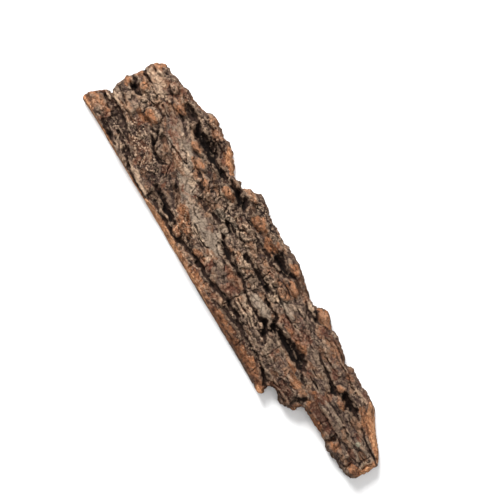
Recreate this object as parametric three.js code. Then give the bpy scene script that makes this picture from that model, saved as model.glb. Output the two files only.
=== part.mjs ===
// A flat piece of virgin cork bark, about 240 mm long, lying on its inner face with the rough outer face up.
// Millimetres. X runs along the grain, Y across it and Z up. The origin is under the middle, on the surface
// that the slab lies on.

import * as THREE from 'three';

// Driving sizes of the slab.
const CROWN_HEIGHT = 14;          // height of the outer face along the middle, before lumps and furrows
const CROWN_RADIUS = 115;         // the outer face bends with the trunk it grew on
const CROWN_MIDDLE_Y = 2;
const ARCH_HEIGHT = 2;            // the inner face is hollow across the grain
const ARCH_HALF_WIDTH = 18;       // beyond this the inner face is worn flat and carries the slab
const ARCH_MIDDLE_Y = 1;
const THINNEST = 3.6;             // no furrow goes nearer to the inner face than this
const EDGE_LIP = 2.2;             // height of the widest line of the broken edge above the inner face
const FOOT_INSET = 0.9;           // the inner face stands in from that widest line
const GRAIN_RELIEF = 0.5;         // low bumps all over the outer face
const GRAIN_ACROSS = { pitch: 1.25, sway: 1.6, swayPitch: 9 };  // their waves across the grain, in radians
const GRAIN_ALONG = { pitch: 3.1, sway: 2, swayPitch: 4.3 };    // and along it
const LEDGE_RELIEF = 0.3;         // share of the edge's slope that its ledges take in and out
const LEDGE_WAVES = [2.3, 1.7, 7.1, 3.1];  // how the ledges come and go round the edge
const BROW_INSET = 0.5;           // where the edge's slope turns towards the top: share of the bevel
const BROW_HEIGHT = 0.62;         // and share of the height from the widest line to the rim

// How thick the slab is along its length, as x and a share of the crown height.
const THICKNESS = [[-122, 0.78], [-100, 0.9], [-60, 1], [-10, 1.06], [40, 1.02], [75, 0.9], [122, 0.7]];

// The box that the points are laid out over, and about how long the outline is.
const FIRST_X = -122;
const LAST_X = 122;
const FIRST_Y = -30;
const LAST_Y = 30;
const OUTLINE_LENGTH = 640;

// Spacing of the facets.
const EDGE_STEP = 2.5;
const TOP_STEP = 1.95;
const BASE_STEP = 7;
const BASE_CLOSEST = 2.4;         // no two points of the inner face are nearer than this
const FURROW_STEP = 2.3;
const CLOSEST = 1.15;             // no two points of the outer face are nearer than this
const SHAKE = 0.12;               // share of a step that breaks up the regular rows
const SHAKE_PHASES = [12.9, 78.2];  // of a row and of a column
const TANGENT_STEP = 0.004;       // share of the outline over which its direction is measured
const MOST_ROUNDS = 6;            // how often the outline may be divided more finely
const FAR_AWAY = 1e4;             // well outside the slab

// The outline seen from above, anticlockwise: x, y and how far the top rim stands in from it.
const OUTLINE = [
  // sawn lower edge, from the loose strip's end to the broken tongue
  [-119.6, -24.2, 1.5], [-112, -24.4, 1.5], [-104, -24.5, 2.0], [-95, -24.7, 1.6], [-85, -24.9, 1.2],
  [-75, -25.0, 1.0], [-65, -25.3, 1.0], [-57, -25.5, 1.6], [-50, -25.6, 3.2], [-42, -25.8, 3.6],
  [-34, -26.1, 3.2], [-27, -26.4, 2.6], [-15, -26.5, 2.4], [-3, -26.9, 2.4], [8, -27.1, 2.8],
  [18, -27.3, 3.0], [28, -27.5, 3.4], [38, -27.7, 3.4], [46, -27.9, 3.0], [51.5, -27.6, 1.8],
  [55.6, -28.2, 0.9], [57.2, -26.2, 0.7],
  // broken step
  [55.6, -24.2, 0.6], [55.1, -22.3, 0.7], [56.8, -19.9, 0.9], [58.6, -19.6, 1.2], [62.5, -20.3, 1.5],
  [66.9, -21.1, 1.3], [69.2, -19.4, 1.4], [73.1, -17.2, 1.2], [73.0, -14.2, 1.4], [74.8, -12.1, 1.6],
  [80.3, -12.4, 1.8], [85, -11.8, 1.8], [90, -11.4, 1.5], [94.3, -12.0, 1.3], [95.2, -11.0, 1.0],
  [98, -12.9, 1.5], [101.5, -13.5, 1.8], [107, -12.9, 1.8], [114.8, -12.5, 2.0],
  // blunt narrow end
  [118.4, -10.1, 2.0], [119.3, -7.3, 1.8], [118.8, -4.8, 1.6], [120, -2.2, 1.6], [119.5, 0.2, 1.6],
  [120, 3.5, 1.5],
  // sloping cut beside the narrow end
  [117, 6.3, 2.6], [113, 9.0, 3.8], [107.5, 11.2, 4.6], [100, 15.0, 5.2], [94.6, 18.0, 5.0],
  [91, 18.9, 3.2],
  // lumpy upper edge
  [86, 18.7, 1.8], [80, 18.5, 1.6], [75.8, 18.8, 1.5], [70.3, 18.5, 1.3], [68.6, 17.4, 1.2],
  [64, 18.6, 1.5], [58, 20.2, 1.5], [53.2, 21.3, 1.5], [49, 20.8, 1.8], [45.5, 22.2, 2.6],
  [41.2, 23.8, 2.8], [38, 22.4, 2.0], [35.4, 20.3, 1.0], [34.6, 19.3, 1.0], [30, 19.7, 1.3],
  [25, 20.2, 1.5], [20.5, 21.9, 1.6], [15, 23.5, 1.8], [8.3, 24.7, 1.8], [1, 24.2, 1.6],
  [-1.3, 23.4, 1.6], [-8, 23.9, 1.6], [-15, 24.5, 1.5], [-20, 25.5, 1.5], [-28, 26.6, 1.5],
  [-30.6, 24.8, 1.5], [-35.6, 22.1, 1.6], [-37, 20.2, 1.2], [-40, 20.5, 1.2], [-43.5, 19.7, 1.2],
  [-47.5, 22.2, 3.0], [-52.5, 24.9, 3.6], [-59, 27.0, 2.4], [-62, 26.2, 1.8], [-66, 27.0, 1.6],
  [-70, 26.8, 1.6], [-73.2, 28.5, 1.8], [-77, 27.0, 1.8], [-80, 24.7, 1.6], [-88, 23.4, 1.5],
  [-93, 23.6, 1.5], [-98, 21.9, 1.5], [-102, 22.0, 1.5], [-106, 20.7, 1.6], [-109, 20.9, 1.8],
  // broad end, with the slot beside the loose strip
  [-112.8, 18.8, 2.2], [-115, 15.0, 2.0], [-114.2, 10.2, 1.0], [-115, 6, 1.8], [-116.3, 0.5, 2.0],
  [-115.6, -5, 1.6], [-114, -8.6, 1.0], [-112.6, -10.2, 0.5], [-114.6, -11.2, 0.8],
  [-118, -15.3, 1.4], [-120, -20.5, 1.6],
];

// Furrows and cracks: depth, and the line along the floor as x, y and half width.
const FURROWS = [
  // broad end
  { deep: 3, line: [[-113.5, -10.2, 0.4], [-106, -10.9, 0.4], [-100, -11.6, 0.5], [-95, -12.7, 0.7],
    [-90, -14.5, 0.6], [-86, -15.6, 0.4]] },
  { deep: 3.2, line: [[-117, -13.2, 0.7], [-108, -13.2, 1.1], [-101, -13.6, 1.2], [-95, -14, 0.9],
    [-92, -15, 0.5]] },
  { deep: 3, line: [[-95, -17.4, 0.4], [-88, -17.9, 0.6], [-83, -19.3, 0.8], [-79.5, -21.5, 0.7],
    [-75, -23, 0.5], [-67, -24.1, 0.4], [-59, -24.4, 0.5]] },
  { deep: 3, line: [[-105, -21, 0.5], [-99, -21.6, 1.0], [-94, -22.6, 1.2], [-90, -22.3, 0.5]] },
  { deep: 4, line: [[-115, 4.3, 0.5], [-111.6, 3.8, 0.7], [-109.6, 1.6, 1.6], [-106.4, 0.8, 1.2],
    [-102.5, 2.4, 0.4]] },
  { deep: 3, line: [[-114.6, 10.1, 0.4], [-110, 10.1, 0.4], [-105.5, 10.3, 0.3]] },
  { deep: 4, line: [[-86.6, 19.2, 0.4], [-84, 18.6, 1.0], [-80.6, 17.8, 1.1], [-78.2, 18.6, 0.5]] },
  { deep: 7, line: [[-75.4, 18.6, 1.0], [-72, 16.9, 2.0], [-67.6, 16.6, 2.7], [-62.4, 16.8, 2.9],
    [-58, 16.2, 2.0], [-54.6, 15.6, 1.3], [-50, 15.4, 0.6], [-44, 16.4, 0.4], [-39, 18, 0.5],
    [-36, 17.8, 1.4], [-32, 16.8, 2.1], [-28.5, 16.2, 1.7], [-26.4, 15.6, 0.6]] },
  { deep: 2.2, line: [[-86, -2.8, 0.5], [-82.6, -1.2, 1.3], [-80, -0.4, 1.0], [-76, 0.4, 0.4],
    [-71, 0.1, 0.3]] },
  { deep: 3, line: [[-82.6, -4, 0.5], [-79, -5.7, 0.9], [-75, -7.3, 0.8], [-70, -8.1, 0.6],
    [-67.4, -6, 0.4]] },
  { deep: 2.5, line: [[-55, 5.8, 0.3], [-50.6, 6, 0.3], [-48, 2.8, 0.4], [-44.5, 1.9, 0.5],
    [-42.5, 0.2, 0.6], [-36, -0.2, 0.5], [-33, 1.0, 0.5], [-28, 2.2, 0.4], [-25.4, 4.4, 0.9],
    [-22, 4.6, 1.1], [-19.6, 3.6, 0.5]] },
  { deep: 4, line: [[-60.5, -15.4, 0.6], [-55, -16.2, 1.1], [-49, -17.1, 1.3], [-43, -17.5, 1.1],
    [-39.5, -17.7, 0.5]] },
  { deep: 3, line: [[-54, -20.6, 0.5], [-48, -21.4, 0.6], [-41, -21.7, 0.7], [-36, -22.4, 0.8],
    [-32.5, -22, 0.7], [-31, -20, 0.7], [-27, -19.1, 0.8], [-21, -19, 0.7], [-15, -17.6, 1.1],
    [-8, -18.4, 1.0], [0, -18, 1.0], [7, -16.6, 1.6], [13, -16.8, 2.1], [19, -17.2, 1.9], [25, -18, 1.0],
    [29, -18.6, 0.4]] },
  // middle
  { deep: 3.5, line: [[-23, -0.4, 0.4], [-19.5, -1.2, 1.1], [-14.6, -3.2, 1.3], [-10, -3.6, 1.2],
    [-5, -3.6, 0.8], [-2, -3, 1.1], [2.4, -3.4, 0.9], [7, -5, 0.6], [11, -6.3, 0.4], [15, -7.1, 0.3],
    [21, -7.3, 0.3], [24.4, -6.6, 0.8], [27, -5.4, 1.5]] },
  { deep: 4, line: [[27, -5.4, 1.5], [30, -7.4, 1.5], [33, -10, 1.2], [36, -11.3, 0.4]] },
  { deep: 6, line: [[30.6, -3.6, 0.6], [35, -2.8, 1.2], [40, -2, 2.0], [46, -2.2, 2.3], [52, -1.2, 2.2],
    [56.6, -1.6, 1.5], [59.4, -3.4, 0.7], [62, -5.2, 0.6], [64.5, -5.6, 0.4]] },
  { deep: 3.5, line: [[-6.5, 4.0, 0.6], [-2, 4.4, 0.9], [3, 4.1, 0.8], [9, 3.9, 0.9], [14, 4.8, 1.3],
    [17.6, 5.6, 0.6]] },
  { deep: 2.5, line: [[15.5, 1.6, 0.3], [20, 0.8, 0.5], [27, 1.4, 0.4], [29, -0.7, 0.6],
    [31, -2.8, 0.7]] },
  { deep: 3.6, line: [[-0.6, 16.4, 0.6], [3, 17.4, 1.6], [8, 17.4, 1.7], [12, 17.6, 1.2],
    [15.4, 18.8, 0.7]] },
  { deep: 2, line: [[-18, 13.4, 0.3], [-10, 13.5, 0.5], [-3, 14.0, 0.5], [4, 13.6, 0.4]] },
  { deep: 3, line: [[29.6, 17.6, 0.3], [33, 16, 0.5], [37, 15.8, 0.6], [40, 16.8, 0.7],
    [43, 17.6, 0.4]] },
  { deep: 3, line: [[34.6, 20.6, 0.7], [37, 19.4, 0.9], [40, 18.2, 0.5]] },
  // narrow end
  { deep: 3.6, line: [[55, 9.4, 0.2], [60, 8.1, 0.3], [66, 7.2, 0.5], [71, 6.3, 1.0], [75, 5.8, 1.4],
    [78, 6.4, 0.5]] },
  { deep: 5.5, line: [[78.6, 10.4, 0.8], [82, 9.4, 1.8], [86, 7.4, 2.1], [89.4, 8.8, 1.4], [93, 8.2, 1.3],
    [95, 9, 0.5]] },
  { deep: 3, line: [[98.5, 7.4, 0.4], [101, 6.9, 0.6], [103.4, 6.5, 0.3], [108, 5.5, 0.25],
    [113, 4.9, 0.25], [121, 3.6, 0.25]] },
  { deep: 4, line: [[44, -18.6, 0.5], [48, -19, 1.0], [52, -20.6, 1.1], [56, -23.4, 0.9]] },
  { deep: 3, line: [[72, -7.8, 0.6], [70, -10.5, 1.2], [68.5, -13.5, 1.0], [68.5, -16, 0.4]] },
  { deep: 2.5, line: [[94.2, -5.2, 0.3], [96, -7.2, 0.4], [95.8, -9.5, 0.5], [95, -11.6, 0.5]] },
];
const FURROW_BANK = 1.5;          // a furrow's walls run out to this many half widths
const FURROW_FLOOR = 0.15;        // share of that way which is level floor
const NARROWEST_FLOOR = 0.9;      // facets this wide still hold a hairline crack open

// Lumps and plates that stand up from the outer face: x, y, half length, half width and height.
const LUMPS = [
  // broad end
  [-112, -19.5, 7, 3.2, 1.8], [-110, 17.5, 6, 3, 2.2], [-105, 5.5, 3.5, 2.3, 1.6], [-113, 0.8, 3, 2.6, 1.6],
  [-101, -5, 5, 4, 1.6], [-97, 17.5, 3.5, 2.4, 1.6], [-91, 1.4, 6, 4, 2.2], [-88, 15, 7, 2, 2],
  [-84, 8, 14, 4, 1], [-75, -14, 12, 4, 1.4], [-74, 25.5, 5, 3, 2.6], [-66, 12.3, 5.5, 2.8, 2.4],
  [-62, 0.5, 10, 3, 1.2], [-60, 24, 9, 2.5, 1.6], [-58, 8.8, 6, 2.4, 1.5],
  // middle
  [-48, 6.2, 6, 3.2, 1.8], [-40, 12.6, 6, 2.8, 2.2], [-37, 5, 8, 4.4, 1.6], [-36, -15, 8, 2.8, 1.6],
  [-35, -7, 15, 5, 1.4], [-35, -20.3, 4, 2.2, 1.6], [-30, 21.8, 6, 3, 1.8], [-20, 9, 12, 4, 1.6],
  [-17, 19, 8, 3.6, 2.6], [-5, -12, 12, 5, 1], [-4, 20, 7, 2.8, 1.6], [0, 0.5, 8, 2.4, 1.2],
  [7, 9, 8, 3.2, 1.8], [12, 21, 6, 3, 2.4], [19, 15.5, 7, 2.4, 2], [19, -4.2, 10, 2.6, 1.3],
  [20, 9.5, 6, 3, 1.6], [20, -12, 12, 4, 1], [20, -22, 14, 3, 1.2], [34, 9, 12, 4.5, 1.2],
  [42, 21, 6, 3, 2.4], [44, -23, 9, 2.6, 1.2], [45, 5, 9, 2.6, 1.2], [50, -11, 12, 4.5, 1.2],
  // narrow end
  [62, 14, 14, 3.6, 1.6], [64, -10.5, 7, 3.5, 1.6], [76, 9, 3, 2.6, 2.6], [82, 4.5, 5, 2.2, 1.4],
  [88, -2, 16, 3.6, 1.2], [106, -8, 6, 3.2, 1.6], [110, 1, 8, 3, 0.9], [115, -8, 4.5, 3, 1.2],
];
const MOUND_FLANK = 0.7;          // share of a lump or hollow that is flank

// Shallow hollows beside the furrows: x, y, half length, half width and depth.
const HOLLOWS = [
  [-60.4, 20.2, 6, 3.6, 3.0], [-83.4, 18.4, 5, 2.6, 1.8], [5.4, 17.6, 5.4, 3.6, 1.8],
  [-57, -20.6, 3.6, 2.4, 1.5], [15, -17.4, 9, 2.8, 1.4], [86.4, 8.8, 7.4, 2.8, 1.4],
  [70.6, -13, 2.8, 4.4, 1.2], [-52.6, -10, 5.4, 3.2, 1.1], [49, 0.2, 9, 1.8, 1.2],
  [-100, -17.6, 4, 5, 1.3], [-104, -12.2, 9, 1.6, 1.0], [-29.8, -14.6, 2, 3, 1.2],
  [38, 17, 3.6, 1.8, 1.0], [-34, 17, 4, 2.6, 1.2], [-109, 1.6, 2.6, 2.2, 1.0], [33, -8, 4.4, 3, 0.8],
  [-18, -19, 12, 1.8, 0.9], [84, -7.6, 10, 2.4, 0.6], [50.4, -19.8, 5, 2, 1.2], [-47, 11.8, 8, 2.6, 0.8],
];

const { clamp, lerp, smoothstep } = THREE.MathUtils;

// Share of the crown height at a place along the slab.
function thicknessShare(x) {
  const next = THICKNESS.findIndex(([station]) => station > x);
  const [from, to] = [THICKNESS[next - 1], THICKNESS[next]];
  return lerp(from[1], to[1], smoothstep(x, from[0], to[0]));
}

// Depth that one furrow takes out of the outer face at a point.
function furrowDepth({ deep, line }, x, y) {
  const widest = Math.max(...line.map((point) => point[2]));
  let depth = 0;
  for (let i = 0; i < line.length - 1; i += 1) {
    const [ax, ay, aw] = line[i];
    const [bx, by, bw] = line[i + 1];
    const along = ((x - ax) * (bx - ax) + (y - ay) * (by - ay)) / ((bx - ax) ** 2 + (by - ay) ** 2);
    const t = clamp(along, 0, 1);
    const half = lerp(aw, bw, t);
    const away = Math.hypot(x - ax - (bx - ax) * t, y - ay - (by - ay) * t);
    const reach = Math.max(half, NARROWEST_FLOOR) * FURROW_BANK;
    const local = deep * Math.sqrt(half / widest) * (1 - smoothstep(away / reach, FURROW_FLOOR, 1));
    depth = Math.max(depth, local);
  }
  return depth;
}

// Height that lumps add at a point, or that hollows take. Each has a broad middle and steeper flanks.
function moundHeight(mounds, x, y) {
  return mounds.reduce((height, [mx, my, halfLength, halfWidth, high]) => {
    const out = ((x - mx) / halfLength) ** 2 + ((y - my) / halfWidth) ** 2;
    return height + high * smoothstep(1 - out, 0, MOUND_FLANK);
  }, 0);
}

// A wave along one direction that sways with the place in the other.
function wave({ pitch, sway, swayPitch }, along, beside) {
  return Math.sin(along / pitch + sway * Math.sin(beside / swayPitch));
}

// Low bumps that run along the grain.
function grainHeight(x, y) {
  return (GRAIN_RELIEF * wave(GRAIN_ACROSS, y, x) * (1 + wave(GRAIN_ALONG, x, y))) / 2;
}

// Height of the inner face: an arch across the grain between two worn flat margins.
function innerHeight(y) {
  const out = (y - ARCH_MIDDLE_Y) / ARCH_HALF_WIDTH;
  return ARCH_HEIGHT * Math.max(0, 1 - out * out);
}

// Height of the outer face.
function outerHeight(x, y) {
  const crown = CROWN_HEIGHT * thicknessShare(x) - (y - CROWN_MIDDLE_Y) ** 2 / (2 * CROWN_RADIUS);
  const carved = Math.max(...FURROWS.map((furrow) => furrowDepth(furrow, x, y)));
  const uneven = moundHeight(LUMPS, x, y) - moundHeight(HOLLOWS, x, y) + grainHeight(x, y);
  return Math.max(crown + uneven - carved, innerHeight(y) + THINNEST);
}

// The four lines round the broken edge, from the top rim down to the foot. Each is a list of [x, y, z].
function edgeLoops(places) {
  const corners = OUTLINE.map(([x, y, bevel]) => new THREE.Vector3(x, y, bevel));
  const curve = new THREE.CatmullRomCurve3(corners, true, 'centripetal');
  const loops = { rim: [], brow: [], lip: [], foot: [] };
  for (const place of places) {
    const at = curve.getPointAt(place);
    const before = curve.getPointAt((place + 1 - TANGENT_STEP) % 1);
    const after = curve.getPointAt((place + TANGENT_STEP) % 1);
    const inward = new THREE.Vector2(before.y - after.y, after.x - before.x).normalize();
    const standing = (inset) => [at.x + inward.x * inset, at.y + inward.y * inset];
    const bevel = at.z;
    const [shortX, shortY, longX, longY] = LEDGE_WAVES;
    const ripple = Math.sin(at.x / shortX + at.y / shortY) * Math.sin(at.x / longX - at.y / longY);
    const ledge = LEDGE_RELIEF * ripple;
    const rim = standing(bevel);
    const brow = standing(bevel * (BROW_INSET + ledge));
    const foot = standing(Math.min(FOOT_INSET, bevel));
    const rimZ = outerHeight(...rim);
    const lipZ = innerHeight(at.y) + EDGE_LIP * (1 + ledge);
    loops.rim.push([...rim, rimZ]);
    loops.brow.push([...brow, lerp(lipZ, rimZ, BROW_HEIGHT + ledge / 2)]);
    loops.lip.push([at.x, at.y, lipZ]);
    loops.foot.push([...foot, innerHeight(foot[1])]);
  }
  return loops;
}

// Even-odd test of a point against a closed line.
function isInside(loop, x, y) {
  let inside = false;
  loop.forEach(([ax, ay], i) => {
    const [bx, by] = loop[(i + 1) % loop.length];
    if (ay > y !== by > y && x < ax + ((y - ay) * (bx - ax)) / (by - ay)) inside = !inside;
  });
  return inside;
}

// Delaunay triangulation of points in the plane, one point at a time. Returns triples of indices,
// anticlockwise.
function delaunay(points) {
  const all = [...points, [-FAR_AWAY, -FAR_AWAY], [FAR_AWAY, -FAR_AWAY], [0, FAR_AWAY]];
  const count = points.length;
  const withCircle = (a, b, c) => {
    const [ax, ay] = all[a];
    const [bx, by] = all[b];
    const [cx, cy] = all[c];
    const twice = 2 * ((bx - ax) * (cy - ay) - (by - ay) * (cx - ax));
    const b2 = (bx - ax) ** 2 + (by - ay) ** 2;
    const c2 = (cx - ax) ** 2 + (cy - ay) ** 2;
    const ux = ((cy - ay) * b2 - (by - ay) * c2) / twice;
    const uy = ((bx - ax) * c2 - (cx - ax) * b2) / twice;
    return { corners: [a, b, c], x: ax + ux, y: ay + uy, r2: ux * ux + uy * uy };
  };
  let triangles = [withCircle(count, count + 1, count + 2)];
  for (let p = 0; p < count; p += 1) {
    const [x, y] = all[p];
    const kept = [];
    const rimEdges = new Map();
    for (const triangle of triangles) {
      if ((x - triangle.x) ** 2 + (y - triangle.y) ** 2 >= triangle.r2) {
        kept.push(triangle);
        continue;
      }
      const [a, b, c] = triangle.corners;
      for (const [from, to] of [[a, b], [b, c], [c, a]]) {
        const back = `${to},${from}`;
        if (rimEdges.has(back)) rimEdges.delete(back);
        else rimEdges.set(`${from},${to}`, [from, to]);
      }
    }
    for (const [from, to] of rimEdges.values()) kept.push(withCircle(from, to, p));
    triangles = kept;
  }
  return triangles.map((triangle) => triangle.corners).filter((corners) => Math.max(...corners) < count);
}

// Triangles that fill a closed line, with more points inside it, and the sides of the line that they miss.
function fill(loop, inner) {
  const points = [...loop, ...inner];
  const middle = (corners, axis) => corners.reduce((sum, i) => sum + points[i][axis] / 3, 0);
  const triangles = delaunay(points).filter((c) => isInside(loop, middle(c, 0), middle(c, 1)));
  const edges = new Set(triangles.flatMap(([a, b, c]) => [`${a},${b}`, `${b},${c}`, `${c},${a}`]));
  const missed = loop.map((_, i) => i).filter((i) => !edges.has(`${i},${(i + 1) % loop.length}`));
  return { triangles, missed };
}

// Keeps the points that stand at least a gap from each other and from the fixed ones.
function spread(candidates, fixed, gap) {
  const cells = new Map();
  const key = (x, y) => `${Math.floor(x / gap)},${Math.floor(y / gap)}`;
  const put = (point) => {
    const name = key(point[0], point[1]);
    cells.set(name, [...(cells.get(name) ?? []), point]);
  };
  const isClear = ([x, y]) => {
    for (const dx of [-gap, 0, gap]) {
      for (const dy of [-gap, 0, gap]) {
        const near = cells.get(key(x + dx, y + dy)) ?? [];
        if (near.some(([nx, ny]) => Math.hypot(nx - x, ny - y) < gap)) return false;
      }
    }
    return true;
  };
  fixed.forEach(put);
  return candidates.filter((point) => {
    const clear = isClear(point);
    if (clear) put(point);
    return clear;
  });
}

// Rows of points over the whole slab, each row shifted by half a step, with a small fixed shake.
function rows(step) {
  const points = [];
  const rise = step * Math.sin(Math.PI / 3);
  const [rowPhase, columnPhase] = SHAKE_PHASES;
  for (let row = 0; row * rise < LAST_Y - FIRST_Y; row += 1) {
    for (let column = 0; column * step < LAST_X - FIRST_X; column += 1) {
      const shake = SHAKE * step * Math.sin(row * rowPhase + column * columnPhase);
      const x = FIRST_X + (column + (row % 2) / 2) * step + shake;
      points.push([x, FIRST_Y + row * rise + shake]);
    }
  }
  return points;
}

// Points along each furrow's floor and along both of its banks, so that the facets follow it.
function furrowPoints() {
  return FURROWS.flatMap(({ line }) => {
    const curve = new THREE.CatmullRomCurve3(line.map(([x, y, w]) => new THREE.Vector3(x, y, w)));
    const count = Math.max(2, Math.round(curve.getLength() / FURROW_STEP));
    return Array.from({ length: count + 1 }, (_, i) => {
      const at = curve.getPointAt(i / count);
      const way = curve.getTangentAt(i / count);
      const side = Math.max(at.z, NARROWEST_FLOOR) * FURROW_BANK;
      const across = new THREE.Vector2(-way.y, way.x).normalize().multiplyScalar(side);
      return [[at.x, at.y], [at.x + across.x, at.y + across.y], [at.x - across.x, at.y - across.y]];
    }).flat();
  });
}

// The whole slab as one closed surface.
function barkGeometry() {
  let count = Math.round(OUTLINE_LENGTH / EDGE_STEP);
  let places = Array.from({ length: count }, (_, i) => i / count);
  const baseLines = [];
  for (let x = FIRST_X; x < LAST_X; x += BASE_STEP) {
    baseLines.push([x, ARCH_MIDDLE_Y - ARCH_HALF_WIDTH], [x, ARCH_MIDDLE_Y + ARCH_HALF_WIDTH]);
  }
  let loops;
  let top;
  let base;
  let topInner;
  let baseInner;
  for (let round = 0; round < MOST_ROUNDS; round += 1) {
    loops = edgeLoops(places);
    const within = (loop) => (point) => isInside(loop, point[0], point[1]);
    const topWithin = [...furrowPoints(), ...rows(TOP_STEP)].filter(within(loops.rim));
    topInner = spread(topWithin, loops.rim, CLOSEST);
    const baseWithin = [...baseLines, ...rows(BASE_STEP)].filter(within(loops.foot));
    baseInner = spread(baseWithin, loops.foot, BASE_CLOSEST);
    top = fill(loops.rim, topInner);
    base = fill(loops.foot, baseInner);
    const missed = new Set([...top.missed, ...base.missed]);
    if (!missed.size) break;
    count = places.length;
    const added = [...missed].map((i) => (places[i] + (i + 1 < count ? places[i + 1] : 1)) / 2);
    places = [...places, ...added].sort((a, b) => a - b);
  }

  const vertices = [];
  const faces = [];
  const add = (points) => {
    const first = vertices.length;
    vertices.push(...points);
    return first;
  };
  const ring = places.length;
  const starts = [loops.rim, loops.brow, loops.lip, loops.foot].map(add);
  const footFirst = starts[starts.length - 1];
  const topFirst = add(topInner.map(([x, y]) => [x, y, outerHeight(x, y)]));
  const baseFirst = add(baseInner.map(([x, y]) => [x, y, innerHeight(y)]));
  const topIndex = (i) => (i < ring ? starts[0] + i : topFirst + i - ring);
  const baseIndex = (i) => (i < ring ? footFirst + i : baseFirst + i - ring);
  top.triangles.forEach(([a, b, c]) => faces.push(topIndex(a), topIndex(b), topIndex(c)));
  base.triangles.forEach(([a, b, c]) => faces.push(baseIndex(a), baseIndex(c), baseIndex(b)));
  for (let level = 0; level < starts.length - 1; level += 1) {
    for (let i = 0; i < ring; i += 1) {
      const next = (i + 1) % ring;
      const [upper, lower] = [starts[level], starts[level + 1]];
      faces.push(upper + i, lower + i, lower + next, upper + i, lower + next, upper + next);
    }
  }
  const geometry = new THREE.BufferGeometry();
  geometry.setAttribute('position', new THREE.Float32BufferAttribute(vertices.flat(), 3));
  geometry.setIndex(faces);
  geometry.computeVertexNormals();
  return geometry;
}

const corkBark = new THREE.MeshStandardMaterial({ color: 0x6e5646, roughness: 0.95, metalness: 0 });

const bark = new THREE.Mesh(barkGeometry(), corkBark);
bark.name = 'cork_bark';

const slab = new THREE.Group();
slab.add(bark);

export default slab;
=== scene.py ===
"""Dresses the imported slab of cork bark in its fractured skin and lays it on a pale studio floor.

The slab lies with its rough outer face up. X runs along the grain, Y across it and Z up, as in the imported
model. Shapes are worked out in millimetres and turned into metres when their meshes are made.
"""

import logging
import math
from dataclasses import dataclass, replace
from enum import Enum
from itertools import product

import bpy
import numpy as np
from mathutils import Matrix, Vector


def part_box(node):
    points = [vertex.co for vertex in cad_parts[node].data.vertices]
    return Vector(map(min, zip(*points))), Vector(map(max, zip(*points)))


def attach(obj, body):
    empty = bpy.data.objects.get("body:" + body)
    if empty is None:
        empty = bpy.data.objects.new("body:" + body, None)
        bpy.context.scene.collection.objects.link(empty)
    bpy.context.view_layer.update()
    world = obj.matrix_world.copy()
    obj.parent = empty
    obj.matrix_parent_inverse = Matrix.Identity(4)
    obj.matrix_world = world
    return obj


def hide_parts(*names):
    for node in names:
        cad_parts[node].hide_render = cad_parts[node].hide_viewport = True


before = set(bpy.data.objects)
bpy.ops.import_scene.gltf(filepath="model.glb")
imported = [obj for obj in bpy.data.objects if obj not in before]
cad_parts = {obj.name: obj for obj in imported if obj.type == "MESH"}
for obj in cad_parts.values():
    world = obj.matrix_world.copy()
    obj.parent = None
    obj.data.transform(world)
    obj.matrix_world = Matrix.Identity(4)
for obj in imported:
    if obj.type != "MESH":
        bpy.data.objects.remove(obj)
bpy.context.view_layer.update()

LOG = logging.getLogger("cork_bark")
MM = 0.001
NODE = "cork_bark"
BODY = "root"
CORNERS = tuple(product((0, 1), repeat=3))  # of a cell of a solid grid
MEAN = 0.5  # of the shader's noise patterns

Array = np.ndarray
Colour = tuple[int, int, int]
Span = tuple[float, float]
Triple = tuple[float, float, float]
Mesh = bpy.types.Mesh
Piece = bpy.types.Object
Socket = bpy.types.NodeSocket

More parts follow.
